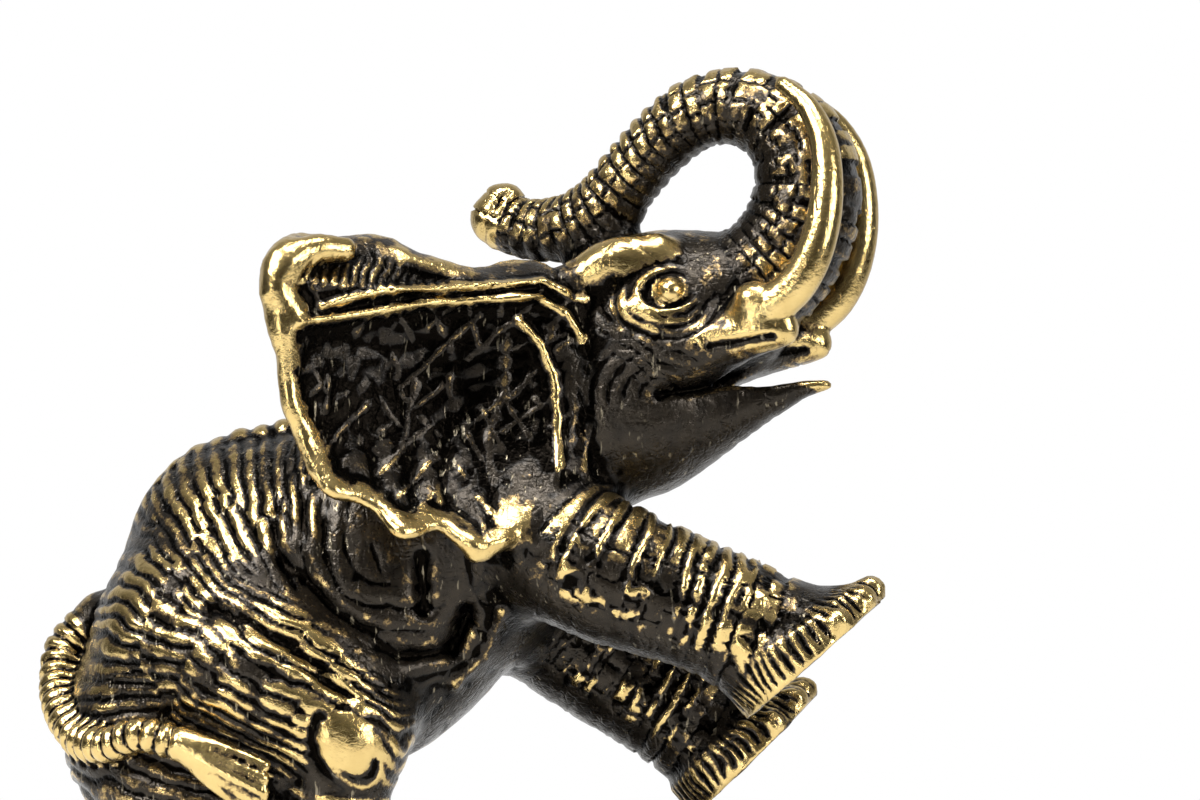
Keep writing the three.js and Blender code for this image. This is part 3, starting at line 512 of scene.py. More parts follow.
class Ear:
    def __init__(self, side):
        self.side = side
        self.blend = 0.8
        x, y, z = EAR["root"]
        self.centre = np.array((x - 10, side * (y + 8), z - 3))
        self.reach = 24
        self.outline = spline(EAR_OUTLINE, 3, closed=True)
        self.corner = Limb([(a, 0.4, b, r) for a, b, r in EAR_CORNER], 0.8)

    def local(self, p):
        x, y, z = EAR["root"]
        c, s = math.cos(EAR["flare"]), math.sin(EAR["flare"])
        along, out = p[:, 0] - x, self.side * p[:, 1] - y
        return s * out - c * along, p[:, 2] - z, s * along + c * out

    def sheet(self, u, v):
        hollow, fold, curl = EAR["hollow"], EAR["fold"], EAR["curl"]
        rho = ((u - hollow["u"]) / hollow["across"]) ** 2 + ((v - hollow["v"]) / hollow["high"]) ** 2
        bowl = -hollow["depth"] * np.maximum(0, 1 - rho)
        rolled = smooth(0, 5, 26 - u)
        back = -fold["slope"] * rolled * np.maximum(0, v - fold["v"])
        low = np.clip((curl["v"] - v) / 10, 0, 1)
        return bowl + back + curl["depth"] * low * low

    def edge(self, u, v):
        inside = np.zeros(len(u), bool)
        ring = self.outline
        for (x0, y0), (x1, y1) in zip(ring, np.roll(ring, -1, axis=0)):
            if y0 == y1:
                continue
            crosses = ((y0 > v) != (y1 > v)) & (u < (x1 - x0) * (v - y0) / (y1 - y0) + x0)
            inside ^= crosses
        d = line_distance(list(ring) + [ring[0]], u, v)
        return np.where(inside, -d, d) + EAR["rim"]

    def distance(self, p):
        u, v, w = self.local(p)
        # the sheet is worked out only for points near it
        near = (w < 8) & (w > -9) & (u > -6) & (u < 31) & (v < 14) & (v > -22)
        value = np.full(len(p), 6.0)
        u, v, w = u[near], v[near], w[near]
        edge = self.edge(u, v)
        lean = np.where(v > EAR["fold"]["v"], math.hypot(1, EAR["fold"]["slope"]), 1)
        off = (w - self.sheet(u, v)) / lean
        swell = np.zeros(len(u))
        for ridge in EAR_RIDGES:
            swell = np.maximum(swell, 0.95 * bump(line_distance(ridge, u, v), 0.42))
        swell = np.where(off > 0, swell, 0)
        plate = np.maximum(edge, np.abs(off) - EAR_THICKNESS / 2 - swell)
        rim = np.hypot(edge, off) - np.where(u > 1, EAR["rim"], 0.4)
        corner = self.corner.distance(np.stack([u, w, v], 1))
        value[near] = melt(melt(plate, rim, 0.6), corner, 0.8)
        return value


def ear_root(side):
    return Limb([(0.6, side * 6.6, 6.0, 1.6), (1.0, side * 7.0, 0, 1.6), (0.6, side * 6.6, -7.5, 1.6)], 2)


EARS = [Ear(-1), Ear(1)]
HEAD_PARTS = [*SKULL, TRUNK, TRUNK_FINGER, JAW, *FACES, *TUSKS, *EYES, *EARS, ear_root(-1), ear_root(1)]
HEAD_SHAPES = [Turned(shape) for shape in HEAD_PARTS]


def ground_distance(p):
    """The low oval ground, a little uneven."""
    turn = np.arctan2(p[:, 1] * BASE["length"] / BASE["width"], p[:, 0])
    wave = 1 + 0.018 * np.sin(5 * turn + 0.6) + 0.012 * np.sin(9 * turn)
    a, b = BASE["length"] / 2 - BASE["edge"], BASE["width"] / 2 - BASE["edge"]
    side = (np.hypot(p[:, 0] / a, p[:, 1] / b) / wave - 1) * b * 0.9
    rise = 0.25 * np.sin(p[:, 0] * 0.55 + 1) * np.cos(p[:, 1] * 0.6)
    top = p[:, 2] - (BASE["height"] - BASE["edge"]) - rise
    out = np.hypot(np.maximum(side, 0), np.maximum(top, 0))
    return np.minimum(np.maximum(side, top), 0) + out - BASE["edge"]


# ---------- folds that both flanks carry, in side view (x, z) ----------
FLANK_FOLDS = [
    (0.9, 0.7, [(8.9, 38.6), (9.0, 34.4)]),
    (0.7, 0.8, [(-2.6, 38.4), (2.5, 34.0), (7.0, 30.6), (10.2, 31.0), (12.2, 33.4)]),
    (0.9, 0.7, [(12.4, 34.2), (11.2, 30.8)]),
    (-0.5, 0.6, [(15.4, 34.0), (13.8, 30.2), (11.4, 28.0)]),
    (0.7, 0.7, [(3.2, 27.2), (-1.5, 31.8), (-8.0, 34.4)]),
]


def flank_folds(p):
    cut = np.zeros(len(p))
    for depth, width, line in FLANK_FOLDS:
        cut += depth * bump(line_distance(line, p[:, 0], p[:, 2]), width)
    return cut * smooth(1.5, 3.5, np.abs(p[:, 1]))


def mouth_cut(value, p):
    """Opens the mouth and draws the line of the lips along each cheek."""
    q = to_head(p)
    near = np.nonzero((q[:, 0] > 6) & (value < 3))[0]
    q = q[near]
    d = value[near]
    lips = 0.9 * bump(line_distance(LIP_LINE, q[:, 0], q[:, 2]), 0.5)
    d = d + np.where(np.abs(q[:, 1]) > 1, lips, 0)
    value[near] = -melt(-d, MOUTH.distance(q), MOUTH.blend)
    return value


def elephant_field(p):
    """The distance to the casting, at points sorted by x."""
    body = gather([TORSO, HIPS, BELLY, RIGHT_FORELEG, LEFT_FORELEG], p)
    body = gather(RIGHT_HINDLEG.shapes() + LEFT_HINDLEG.shapes(), p, body)
    near = body < 3
    body[near] += flank_folds(p[near])
    rest = gather([*SPINE_KNOBS, TAIL, *STRANDS], p)
    head = mouth_cut(gather(HEAD_SHAPES, p), p)
    value = melt(body, rest, 0.8)
    value = melt(value, head, 2.5)
    value = melt(value, ground_distance(p), 1)
    return np.maximum(value, -p[:, 2])  # filed flat below


# ---------- tracing the surface ----------
def refined(blocks):
    """The same values with each block cut into fine steps."""
    for axis in range(3):
        blocks = np.repeat(blocks, BLOCK, axis)
    return blocks


def trace_surface():
    """The field's surface as corners, in mm, and quads, traced on a fine grid near the surface only."""
    low, high = np.array(GRID_LOW), np.array(GRID_HIGH)
    coarse = STEP * BLOCK
    count = np.ceil((high - low) / coarse).astype(int)
    centres = np.stack(np.meshgrid(*[np.arange(n) for n in count], indexing="ij"), -1).reshape(-1, 3)
    (blocks,) = threaded(elephant_field, low + coarse * (centres + 0.5))
    blocks = blocks.reshape(count)
    values = refined(blocks).astype(np.float32)
    index = np.argwhere(refined(np.abs(blocks) < coarse * HALF_DIAGONAL + 0.5))
    (found,) = threaded(elephant_field, low + STEP * index, 40)
    values[tuple(index.T)] = found
    grid = openvdb.FloatGrid(FAR)
    grid.copyFromArray(values)
    corners, _, quads = grid.convertToPolygons(0, 0)
    return low + STEP * corners.astype(float), quads


# ---------- wrinkles and worn places ----------
# Each skin function gives, for the corners of the traced surface, how far the skin stands up and how
# brightly it is rubbed. Both fade to nothing where the corner belongs to another part of the figure.
def lobes(phase):
    """Rounded crests with a sharp groove between each two: 1 on a crest, 0 in a groove."""
    f = phase - np.floor(phase)
    return 1 - (2 * f - 1) ** 2


def blades(phase, width):
    """Narrow ridges with flats between them."""
    f = phase - np.floor(phase) - 0.5
    return np.exp(-((f / width) ** 2))


def cells(phase, across, size, seed):
    """Bricks of skin, 1 inside: the rings of `phase` cut across every `size` mm, each at its own place."""
    ring = np.floor(phase).astype(np.int64)
    shift = hashed(np.stack([ring, ring * 0, ring * 0], 1), seed)
    cut = lobes(across / size + shift)
    return np.minimum(smooth(0, 0.6, lobes(phase)), smooth(0, 0.35, cut))


def belongs(distance, reach=0.9):
    return 1 - smooth(0.35, reach, distance)


def round_limb(limb, p):
    """Where each point is on a limb: distance, way along, cosine to its upper side, way across its side."""
    d, way, spoke, tangent = limb.trace(p)
    upper = np.stack([-tangent[:, 2], np.zeros(len(p)), tangent[:, 0]], 1)
    upper /= np.linalg.norm(upper, axis=1)[:, None] + 1e-9
    size = np.linalg.norm(spoke, axis=1) + 1e-9
    lift = (spoke * upper).sum(1) / size
    return d, way, lift, np.arcsin(np.clip(lift, -1, 1)) * size


def trunk_skin(p):
    d, way, lift, across = round_limb(TRUNK, to_head(p))
    lift, across = -lift, -across  # the trunk's front is the outer side of its curl
    w = belongs(d) * smooth(4.5, 8, way)
    wobble = 0.22 * noise(p, 2.6, 1) + 0.1 * across / 2.5
    phase = way / RING_PITCH["trunk"] + wobble
    outer = smooth(0.5, 0.95, lift)
    inner = smooth(-0.2, -0.75, lift)
    flank = (1 - outer) * (1 - inner)
    bricks = cells(phase, across, 1.9, 2)
    height = outer * 0.5 * (lobes(phase) - 0.55) + flank * 0.34 * (bricks - 0.75)
    height += inner * 0.2 * (lobes(phase) - 0.6)
    tip = smooth(0, 1, (way - TRUNK.along[-1] + 2.2) / 1.6)
    bright = smooth(15, 21, way)  # the trunk's outer front is kept darker up to 15 mm along it, beside the tusks, and fully worn only past 21 mm
    worn = outer * bright * (0.85 * lobes(phase) - 0.1 + 0.3 * rough(p, 2.0, 4))
    worn -= outer * (1 - bright) * 0.3
    worn += flank * (0.3 * (bricks - 0.9) + 0.12 * smooth(0.1, 0.5, lift) * bright)
    worn -= 0.5 * inner
    return w * height, w * (worn * (1 - tip) + 0.9 * tip)


def foreleg_skin(leg, p, bright):
    d, way, lift, across = round_limb(leg.leg, p)
    length = leg.leg.along[-1]
    w = belongs(d) * smooth(3.5, 7.5, way) * (1 - smooth(length - 5.5, length - 3.5, way))
    phase = way / RING_PITCH["leg"] + 0.28 * noise(p, 3.2, 5) + 0.05 * across
    top = smooth(0.55, 0.9, lift)
    side = (1 - top) * smooth(-0.75, -0.3, lift)
    under = 1 - smooth(-0.8, -0.45, lift)
    broken = smooth(-0.35, 0.1, rough(p, 2.4, 6))
    band = bump(across - 0.4 - 0.4 * noise(p, 4.0, 7), 0.7)
    flakes = bump(across + 2.7, 0.9) * smooth(0.0, 0.4, rough(p, 1.2, 8))
    ridge = blades(phase, 0.2) * broken
    bricks = cells(phase + 0.5, across, 2.6, 17)
    height = top * 0.42 * (lobes(phase) - 0.6)
    height += side * (0.4 * ridge - 0.16 * band - 0.1 + 0.12 * (bricks - 0.8)) + 0.22 * flakes * side
    height += under * 0.12 * (lobes(phase) - 0.5)
    patches = rough(p, 3.0, 16)
    worn = top * (0.55 * lobes(phase) + 0.2 * patches)
    worn += side * (0.75 * ridge - 0.02 - 0.45 * band + 0.4 * patches)
    worn += 0.6 * flakes * side
    worn -= 0.55 * under
    # folds round the wrist, then the foot's striations fanning out to the sole's edge
    wrist = belongs(d, 1.6) * bump(way - length + 4.6, 2.1)
    folds = lobes((way + 0.5 * noise(p, 2.0, 9)) / 1.5)
    height += wrist * 0.4 * (folds - 0.6)
    worn += wrist * 0.45 * folds
    rel = p - leg.sole
    a, b, c = rel @ leg.forward, rel[:, 1], rel @ leg.normal
    foot = smooth(-5.5, -3.2, c) * belongs(np.abs(leg.foot(p)), 2.2)
    foot = foot * (np.abs(a) < 9.5) * (np.abs(b) < 9)
    turn = np.arctan2(b / SOLE["width"], a / SOLE["length"])
    rays = lobes(turn * 8.0 + 0.7 * noise(p, 2.4, 10))
    rim = smooth(-1.0, -0.2, c)
    height = height * (1 - foot) + foot * (1 - rim) * 0.26 * (rays - 0.6)
    worn = worn * (1 - foot) + foot * (0.12 + 0.5 * rays + 0.3 * rim + 0.35 * rough(p, 2.5, 18))
    sole = smooth(-0.12, -0.02, c) * foot
    height = height * (1 - sole) + sole * 0.1 * noise(p, 1.6, 11)
    worn = worn * (1 - sole) - 0.35 * sole
    w = np.maximum(np.maximum(w, wrist), foot)
    # painted shade: the far foreleg, which the lamps leave in shadow, has its wear lowered so the whole leg
    # reads darker
    shade = 0 if bright else 0.28
    return w * height, w * (worn - shade)


def hindleg_skin(leg, p):
    d, way, _, _ = leg.shin.trace(p)
    w = belongs(d) * smooth(2.5, 6, way)
    phase = way / RING_PITCH["leg"] + 0.3 * noise(p, 3.0, 12)
    ridge = blades(phase, 0.2) * smooth(-0.3, 0.3, noise(p, 1.9, 13))
    return w * (0.26 * ridge - 0.06), w * (0.5 * ridge + 0.1)


def tail_skin(p):
    d, way, _, _ = TAIL.trace(p)
    w = belongs(d, 0.8) * smooth(0.5, 2.5, way)
    rings = lobes(way / RING_PITCH["tail"] + 0.1 * noise(p, 1.5, 14))
    height, worn = w * 0.4 * (rings - 0.6), w * (0.35 + 0.5 * rings)
    for strand in STRANDS:
        worn = np.maximum(worn, 0.6 * belongs(strand.distance(p), 0.5))
    return height, worn


RUMP_CENTRE = (1.7, 29.8)
ARMPIT = (8.4, 42.0)


def torso_skin(p, on_body):
    """Grooves fan out from the thigh over the rump to the spine, and arc round the armpit on the flank."""
    w = on_body * smooth(0.6, 2.2, np.abs(p[:, 1]))
    x, z = p[:, 0], p[:, 2]
    away = np.hypot(x - RUMP_CENTRE[0], z - RUMP_CENTRE[1])
    turn = np.degrees(np.arctan2(z - RUMP_CENTRE[1], x - RUMP_CENTRE[0])) % 360
    warp = 3.0 * rough(p, 7.0, 20)
    spacing = np.where(away > 16, 4.2, 6.2)
    rump = smooth(9.0, 13.0, away) * smooth(88, 100, turn) * (1 - smooth(205, 220, turn))
    rays = lobes((turn + warp) / 4.4 + 0.12 * away)
    rays = np.where(noise(p, 4.5, 22) > 0.05, rays, lobes((turn + warp) / spacing + 0.5))
    height = rump * (0.3 * (rays - 0.62) + 0.08 * rough(p, 1.4, 27))
    hip = bump(np.hypot(x + 7.5, (z - 41.5) * 1.2), 7.5)
    shade = 0.32 * smooth(42.5, 46.5, z)
    worn = rump * (0.5 * (rays - 0.4) + 0.5 * hip - shade + 0.4 * rough(p, 3.5, 28))
    # concentric folds round the armpit
    r = np.hypot(x - ARMPIT[0], z - ARMPIT[1]) + 0.9 * rough(p, 6.0, 23)
    arc = np.degrees(np.arctan2(z - ARMPIT[1], x - ARMPIT[0])) % 360
    flank = smooth(5.0, 6.5, r) * (1 - smooth(12.5, 14.5, r))
    flank = flank * smooth(140, 160, arc) * (1 - smooth(275, 295, arc))
    folds = lobes(r / 1.9)
    height += flank * (0.27 * (folds - 0.6) + 0.05 * rough(p, 1.2, 29))
    worn += flank * (0.22 * folds - 0.4)
    # fine creases crossing everything between
    rest = np.clip(1 - rump - flank, 0, 1)
    crease = blades((x * 0.8 + z * 0.35) / 2.1 + 0.6 * noise(p, 3.4, 25), 0.13)
    crease *= smooth(0.0, 0.4, noise(p, 2.6, 26))
    height -= rest * 0.22 * crease
    worn -= rest * (0.3 * crease + 0.08)
    belly = smooth(30, 25, z) * smooth(-4, 2, x)
    worn -= 0.35 * belly
    knobs = bump(line_distance(BACKBONE, x, z), 1.5) * (1 - smooth(1.2, 2.6, np.abs(p[:, 1])))
    return w * height, w * worn + 0.75 * knobs * on_body


def thigh_share(distance, way):
    return belongs(distance, 1.4) * smooth(3.0, 8.0, way)


def thigh_skin(leg, p):
    """Streaks that run down the thigh to the knee, and the knee's own polished knob."""
    d, way, _, across = round_limb(leg.thigh, p)
    w = thigh_share(d, way)
    flow = p * (0.45, 1, 1)
    lines = lobes(across / 1.25 + way * 0.02 + 1.1 * rough(flow, 5.0, 30))
    split = rough(flow, 1.5, 36)
    height = w * (0.26 * (lines - 0.6) + 0.14 * split)
    worn = w * (0.05 + 0.45 * lines + 0.5 * split + 0.45 * rough(p, 6.0, 39))
    knee_x, knee_y, knee_z = leg.knee.centre
    outside = smooth(0, 1, (p[:, 1] - knee_y * 0.6) * np.sign(knee_y)) * belongs(d, 2.0)
    rx, rz = p[:, 0] - (knee_x - 0.1), p[:, 2] - (knee_z - 1.2)
    out = np.hypot(rx + 0.2 * rz, rz * 0.85) + 0.25 * rough(p, 3.0, 33)
    knee = (1 - smooth(2.2, 3.0, out)) * outside
    behind = smooth(0.6, -1.2, rx + 0.7 * rz)  # the fold runs round the back and under the knob
    moat = bump(out - 3.1, 0.45) * outside * behind
    crease = bump(out - 1.9, 0.3) * smooth(-0.4, -1.2, rz) * smooth(-1.5, 0.3, rx)
    height = height * (1 - knee) * (1 - moat) + knee * (0.3 * (1 - out / 3) - 0.35 * crease) - 0.5 * moat
    worn = worn * (1 - knee) + knee * (0.85 - 1.2 * crease + 0.25 * rough(p, 2.0, 34)) - 0.9 * moat
    back = belongs(leg.rump.distance(p), 1.2) * (1 - w) * (1 - smooth(21, 24, p[:, 2]))
    bands = lobes((p[:, 2] + 0.25 * p[:, 0]) / 1.55 + 0.5 * rough(p, 5.0, 31))
    height += back * 0.28 * (bands - 0.6)
    worn += back * (0.4 * bands - 0.4)
    return height, worn


def head_skin(p):
    q = to_head(p)
    x, y, z = q.T
    w = belongs(np.minimum.reduce([shape.distance(q) for shape in (*SKULL, JAW, *FACES)]), 1.5)
    ex, _, ez = EYE["centre"]
    eye_away = np.hypot(x - ex, (z - ez) * 1.1)
    # rings of wrinkles round the eye and down the cheek
    almond = np.hypot((x - ex) / 1.4, z - ez - 0.12 * (x - ex))
    socket = bump(almond - 1.3, 0.3)
    lid = bump(almond - 1.95, 0.33) * smooth(-0.6, 0.3, z - ez)
    lower_lid = bump(almond - 1.8, 0.28) * smooth(0.2, -0.5, z - ez)
    wrinkles = lobes(eye_away / 1.15 + 0.35 * noise(p, 2.2, 40))
    near_eye = smooth(2.2, 3.0, eye_away) * (1 - smooth(4.4, 6.2, eye_away)) * smooth(7.2, 5.6, z)
    cheek = smooth(1.5, -0.5, z) * smooth(-9, -5, z) * smooth(12.5, 9.5, x)
    cheek_away = np.hypot(x - 9.3, z + 3.0)
    bows = lobes(cheek_away / 1.35 + 0.3 * noise(p, 2.6, 41))
    height = near_eye * 0.18 * (wrinkles - 0.6) + cheek * 0.2 * (bows - 0.6)
    height += 0.42 * lid + 0.3 * lower_lid - 0.45 * socket
    brow = bump(np.hypot(x - 4.5, z - 8.4), 4.2) + 0.8 * bump(np.hypot(x - 8.5, z - 9.2), 2.6)
    pouch = bump(np.hypot(x - 9.2, (z - 3.4) * 1.8), 2.8)
    beside = np.abs(y) > 3
    knob = bump(np.hypot(x - 17.2, z - 5.2), 1.9) * beside
    lip = bump(line_distance([(13.0, 1.8), (16.0, 2.0), (19.4, 2.6)], x, z), 1.1) * beside
    crease = bump(line_distance([(13.6, 1.2), (16.0, 1.5), (19.0, 2.0)], x, z), 0.28) * beside
    crown = smooth(2.5, 0.5, np.abs(y)) * smooth(6, 9, z)
    worn = 0.75 * brow + 0.5 * pouch + 0.95 * knob + 0.75 * lip - 1.2 * crease + 0.25 * crown
    worn += 0.45 * lid + 0.3 * lower_lid - 0.9 * socket
    worn += near_eye * 0.3 * (wrinkles - 0.4) + cheek * (0.35 * bows - 0.45)
    height -= 0.3 * crease
    jaw = smooth(-2.0, -3.0, z - 0.12 * (x - 12))
    worn = worn * (1 - jaw) - 0.5 * jaw
    height *= 1 - 0.8 * jaw
    tip = smooth(20.3, 21.5, x) * smooth(1.5, 0, z)
    worn += tip
    corner = bump(np.hypot(x - 8.6, z + 3.2), 0.9)
    worn += 0.8 * corner
    scratch = blades((x * 0.7 + z) / 1.3 + 0.5 * noise(p, 2.4, 42), 0.12)
    scratch = scratch * smooth(0.1, 0.45, noise(p, 1.8, 43))
    height -= 0.1 * scratch * (1 - jaw)
    return w * height, w * (worn - 0.12)


def tusks_and_eyes(p):
    """The share of each corner that belongs to a tusk, and the share that belongs to an eye."""
    q = to_head(p)
    tusks = np.maximum.reduce([belongs(tusk.distance(q), 0.7) for tusk in TUSKS])
    eyes = np.maximum.reduce([belongs(eye.distance(q), 0.5) for eye in EYES])
    return tusks, eyes


def ear_skin(ear, p):
    q = to_head(p)
    d = ear.distance(q)
    w = belongs(d, 0.8)
    u, v, side_w = ear.local(q)
    edge = ear.edge(u, v)
    front = smooth(-0.5, 0.3, side_w - ear.sheet(u, v))
    rim = smooth(-2.0, -0.7, edge)
    ridge = np.zeros(len(p))
    for line in EAR_RIDGES:
        ridge = np.maximum(ridge, bump(line_distance(line, u, v), 0.42))
    strip = smooth(5.9, 6.6, v + 0.06 * u) * (1 - rim)
    bowl = (1 - strip) * (1 - rim) * (1 - ridge)
    hatch = lobes(u / 0.85 + v / 1.6 + 0.3 * noise(p, 1.6, 50))
    ribs = np.arctan2(v - 3.0, u + 3.0)
    rays = lobes(ribs * 6.0 + 0.8 * noise(p, 5.0, 51))
    cross = np.zeros(len(p))
    for lean, gap, seed in ((-0.6, 2.7, 52), (1.1, 3.1, 54), (0.15, 3.6, 58)):
        lines = blades((u + lean * v) / gap + 0.35 * noise(p, 4.0, seed), 0.11)
        cross = np.maximum(cross, lines * smooth(-0.1, 0.25, rough(p, 3.5, seed + 1)))
    pleat = lobes((u * 0.9 - v * 0.25) / 2.9 + 0.3 * noise(p, 4.0, 56))
    lower = smooth(-5, -11, v)
    height = front * (strip * 0.2 * (hatch - 0.6) + bowl * (0.1 * (rays - 0.5) + 0.2 * cross))
    height += front * bowl * lower * 0.45 * (pleat - 0.5)
    height += rim * 0.2 * rough(p, 3.0, 57) + (1 - front) * (1 - rim) * 0.16 * (pleat - 0.5)
    patch = bump(np.hypot(u - 5.9, v + 13.0), 1.9) + 0.9 * bump(np.hypot(u - 1.2, v + 9.8), 1.2)
    corner = 1 - smooth(0.2, 0.9, ear.corner.distance(np.stack([u, side_w, v], 1)))
    top_edge = smooth(5.5, 7.0, v) * smooth(20.5, 18.5, u)
    worn = (0.72 - 0.5 * top_edge + 0.35 * rough(p, 3.0, 59)) * rim + 0.95 * ridge
    worn = worn + 0.3 * strip * hatch - 0.5 * bowl * front
    worn += 0.62 * cross * bowl * front
    worn += front * (0.75 * patch + 0.4 * lower * bowl * pleat)
    worn = np.maximum(worn, 0.9 * corner) - (1 - front) * 0.35 * (1 - rim)
    return w * height, w * worn, w


def skin(p):
    """How far each corner stands up, in mm, and how worn it is, from about -1 to 1."""
    q = to_head(p)
    head = np.minimum.reduce([TRUNK.distance(q), *[s.distance(q) for s in SKULL]])
    ears = np.minimum.reduce([ear.distance(q) for ear in EARS])
    above_ground = smooth(BASE["height"] + 0.2, BASE["height"] + 1.5, p[:, 2])
    haunches = [limb for leg in (RIGHT_HINDLEG, LEFT_HINDLEG) for limb in (leg.rump, leg.thigh)]
    body = np.minimum.reduce([shape.distance(p) for shape in (TORSO, HIPS, BELLY, *haunches)])
    on_body = belongs(body, 1.6) * smooth(0.3, 1.2, head) * smooth(0.2, 0.8, ears)
    for leg in (RIGHT_FORELEG, LEFT_FORELEG):
        on_body = on_body * smooth(0.2, 1.2, leg.distance(p))
    for leg in (RIGHT_HINDLEG, LEFT_HINDLEG):
        on_body = on_body * (1 - thigh_share(*leg.thigh.trace(p)[:2]))
        on_body = on_body * np.maximum(smooth(0.0, 0.8, leg.rump.distance(p)), smooth(21, 24, p[:, 2]))
    height, worn = torso_skin(p, on_body)
    for leg in (RIGHT_HINDLEG, LEFT_HINDLEG):
        for more in (thigh_skin(leg, p), hindleg_skin(leg, p)):
            height, worn = height + more[0], worn + more[1]
    # the near foreleg is taken as lit; the far one is darkened all over as painted shade
    for leg, bright in ((RIGHT_FORELEG, True), (LEFT_FORELEG, False)):
        more = foreleg_skin(leg, p, bright)
        height, worn = height + more[0], worn + more[1]
    clear = smooth(0.1, 0.6, ears)
    height, worn = height * clear, worn * clear
    clear = smooth(0.0, 0.5, ears)
    for more in (head_skin(p), trunk_skin(p)):
        height, worn = height + more[0] * clear, worn + more[1] * clear
    more = tail_skin(p)
    on_tail = belongs(TAIL.distance(p), 0.9)
    height, worn = height * (1 - on_tail) + more[0], worn * (1 - on_tail) + more[1]
    for ear in EARS:
        rise, rub, w = ear_skin(ear, p)
        height, worn = height * (1 - w) + rise, worn * (1 - w) + rub
    tusks, eyes = tusks_and_eyes(p)
    smooth_parts = np.maximum(tusks, eyes)
    height = height * (1 - smooth_parts)
    worn = worn * (1 - smooth_parts) + tusks + 0.75 * eyes
    base = 1 - above_ground
    height = height * above_ground + base * 0.22 * noise(p, 2.4, 60)
    worn = worn * above_ground + base * (0.3 * noise(p, 3.0, 61) - 0.25)
    height += 0.05 * noise(p, 0.9, 62) * (1 - smooth_parts)
    return height * smooth(0.1, 0.8, p[:, 2]), worn


# ---------- the mesh ----------
SMALL = {"rounds": 2, "depth": 0.07}  # hollows of two sizes: how often the surface round them is smoothed,
LARGE = {"rounds": 12, "depth": 0.35}  # and the depth in mm that counts as a full hollow
UNDERSIDE = 0.02  # corners lower than this lie on the flat below
WEAR = {"anywhere": 0.34, "rubbed": 0.5, "small": -0.2, "large": -0.26}  # what each adds to the wear


def mesh_from(corners, faces):
    mesh = bpy.data.meshes.new("elephant_cast")
    mesh.vertices.add(len(corners))
    mesh.vertices.foreach_set("co", np.ascontiguousarray(corners, np.float32).ravel())
    sides = faces.shape[1]
    mesh.loops.add(faces.size)
    mesh.loops.foreach_set("vertex_index", np.ascontiguousarray(faces, np.int32).ravel())
    mesh.polygons.add(len(faces))
    mesh.polygons.foreach_set("loop_start", np.arange(0, faces.size, sides, dtype=np.int32))
    mesh.update(calc_edges=True)
    return mesh


def vectors(items, name):
    """One vector of each of a mesh's items, by its name."""
    out = np.empty(len(items) * 3, np.float32)
    items.foreach_get(name, out)
    return out.reshape(-1, 3).astype(float)


def smoothed(values, edges, count, rounds):
    """The mean of each corner and its neighbours, taken so many times."""
    a, b = edges.T
    degree = np.bincount(edges.ravel(), minlength=count) + 1.0
    for _ in range(rounds):
        total = values.copy()
        for axis in range(values.shape[1]):
            column = values[:, axis]
            total[:, axis] += np.bincount(a, column[b], count) + np.bincount(b, column[a], count)
        values = total / degree[:, None]
    return values


def hollowness(mesh, size):
    """How far each corner lies below the mean of the surface round it: 1 in a full hollow, -1 on a crest."""
    p = vectors(mesh.vertices, "co") / MM
    edges = np.empty(len(mesh.edges) * 2, np.int32)
    mesh.edges.foreach_get("vertices", edges)
    around = smoothed(p, edges.reshape(-1, 2), len(p), size["rounds"])
    below = ((around - p) * vectors(mesh.vertex_normals, "vector")).sum(1)
    return np.clip(below / size["depth"], -1, 1)


def thinned(mesh, triangles):
    """The mesh with its corners merged, where that changes it least, down to so many triangles."""
    solid = bpy.data.objects.new("dense", mesh)
    bpy.context.scene.collection.objects.link(solid)
    thin = solid.modifiers.new("thin", "DECIMATE")
    thin.ratio = triangles / (2 * len(mesh.polygons))
    thin.use_collapse_triangulate = True
    result = bpy.data.meshes.new_from_object(solid.evaluated_get(bpy.context.evaluated_depsgraph_get()))
    bpy.data.objects.remove(solid)
    return result


def place_corners(mesh, corners):
    mesh.vertices.foreach_set("co", (corners * MM).astype(np.float32).ravel())
    mesh.update()


def cast_elephant():
    """The figure's mesh, with how worn and how hollow it is at each corner."""
    corners, quads = trace_surface()
    dense = mesh_from(corners * MM, quads)
    height, _ = threaded(skin, corners)
    corners = corners + vectors(dense.vertex_normals, "vector") * height[:, None]
    low, high = np.array([list(corner) for corner in CAD_BOX]) / MM
    corners = np.clip(corners, low, high)
    corners[corners[:, 2] < UNDERSIDE, 2] = 0
    place_corners(dense, corners)
    mesh = thinned(dense, TRIANGLES)
    bpy.data.meshes.remove(dense)
    corners = np.clip(vectors(mesh.vertices, "co") / MM, low, high)
    place_corners(mesh, corners)
    _, worn = threaded(skin, corners)
    small, large = hollowness(mesh, SMALL), hollowness(mesh, LARGE)
    wear = WEAR["anywhere"] + WEAR["rubbed"] * worn + WEAR["small"] * small + WEAR["large"] * large
    for name, value in (("wear", wear), ("hollow", 0.5 + 0.5 * np.clip(small + large, -1, 1))):
        layer = mesh.attributes.new(name, "FLOAT", "POINT")
        layer.data.foreach_set("value", np.clip(value, 0, 1).astype(np.float32))
    mesh.polygons.foreach_set("use_smooth", np.ones(len(mesh.polygons), bool))
    return mesh


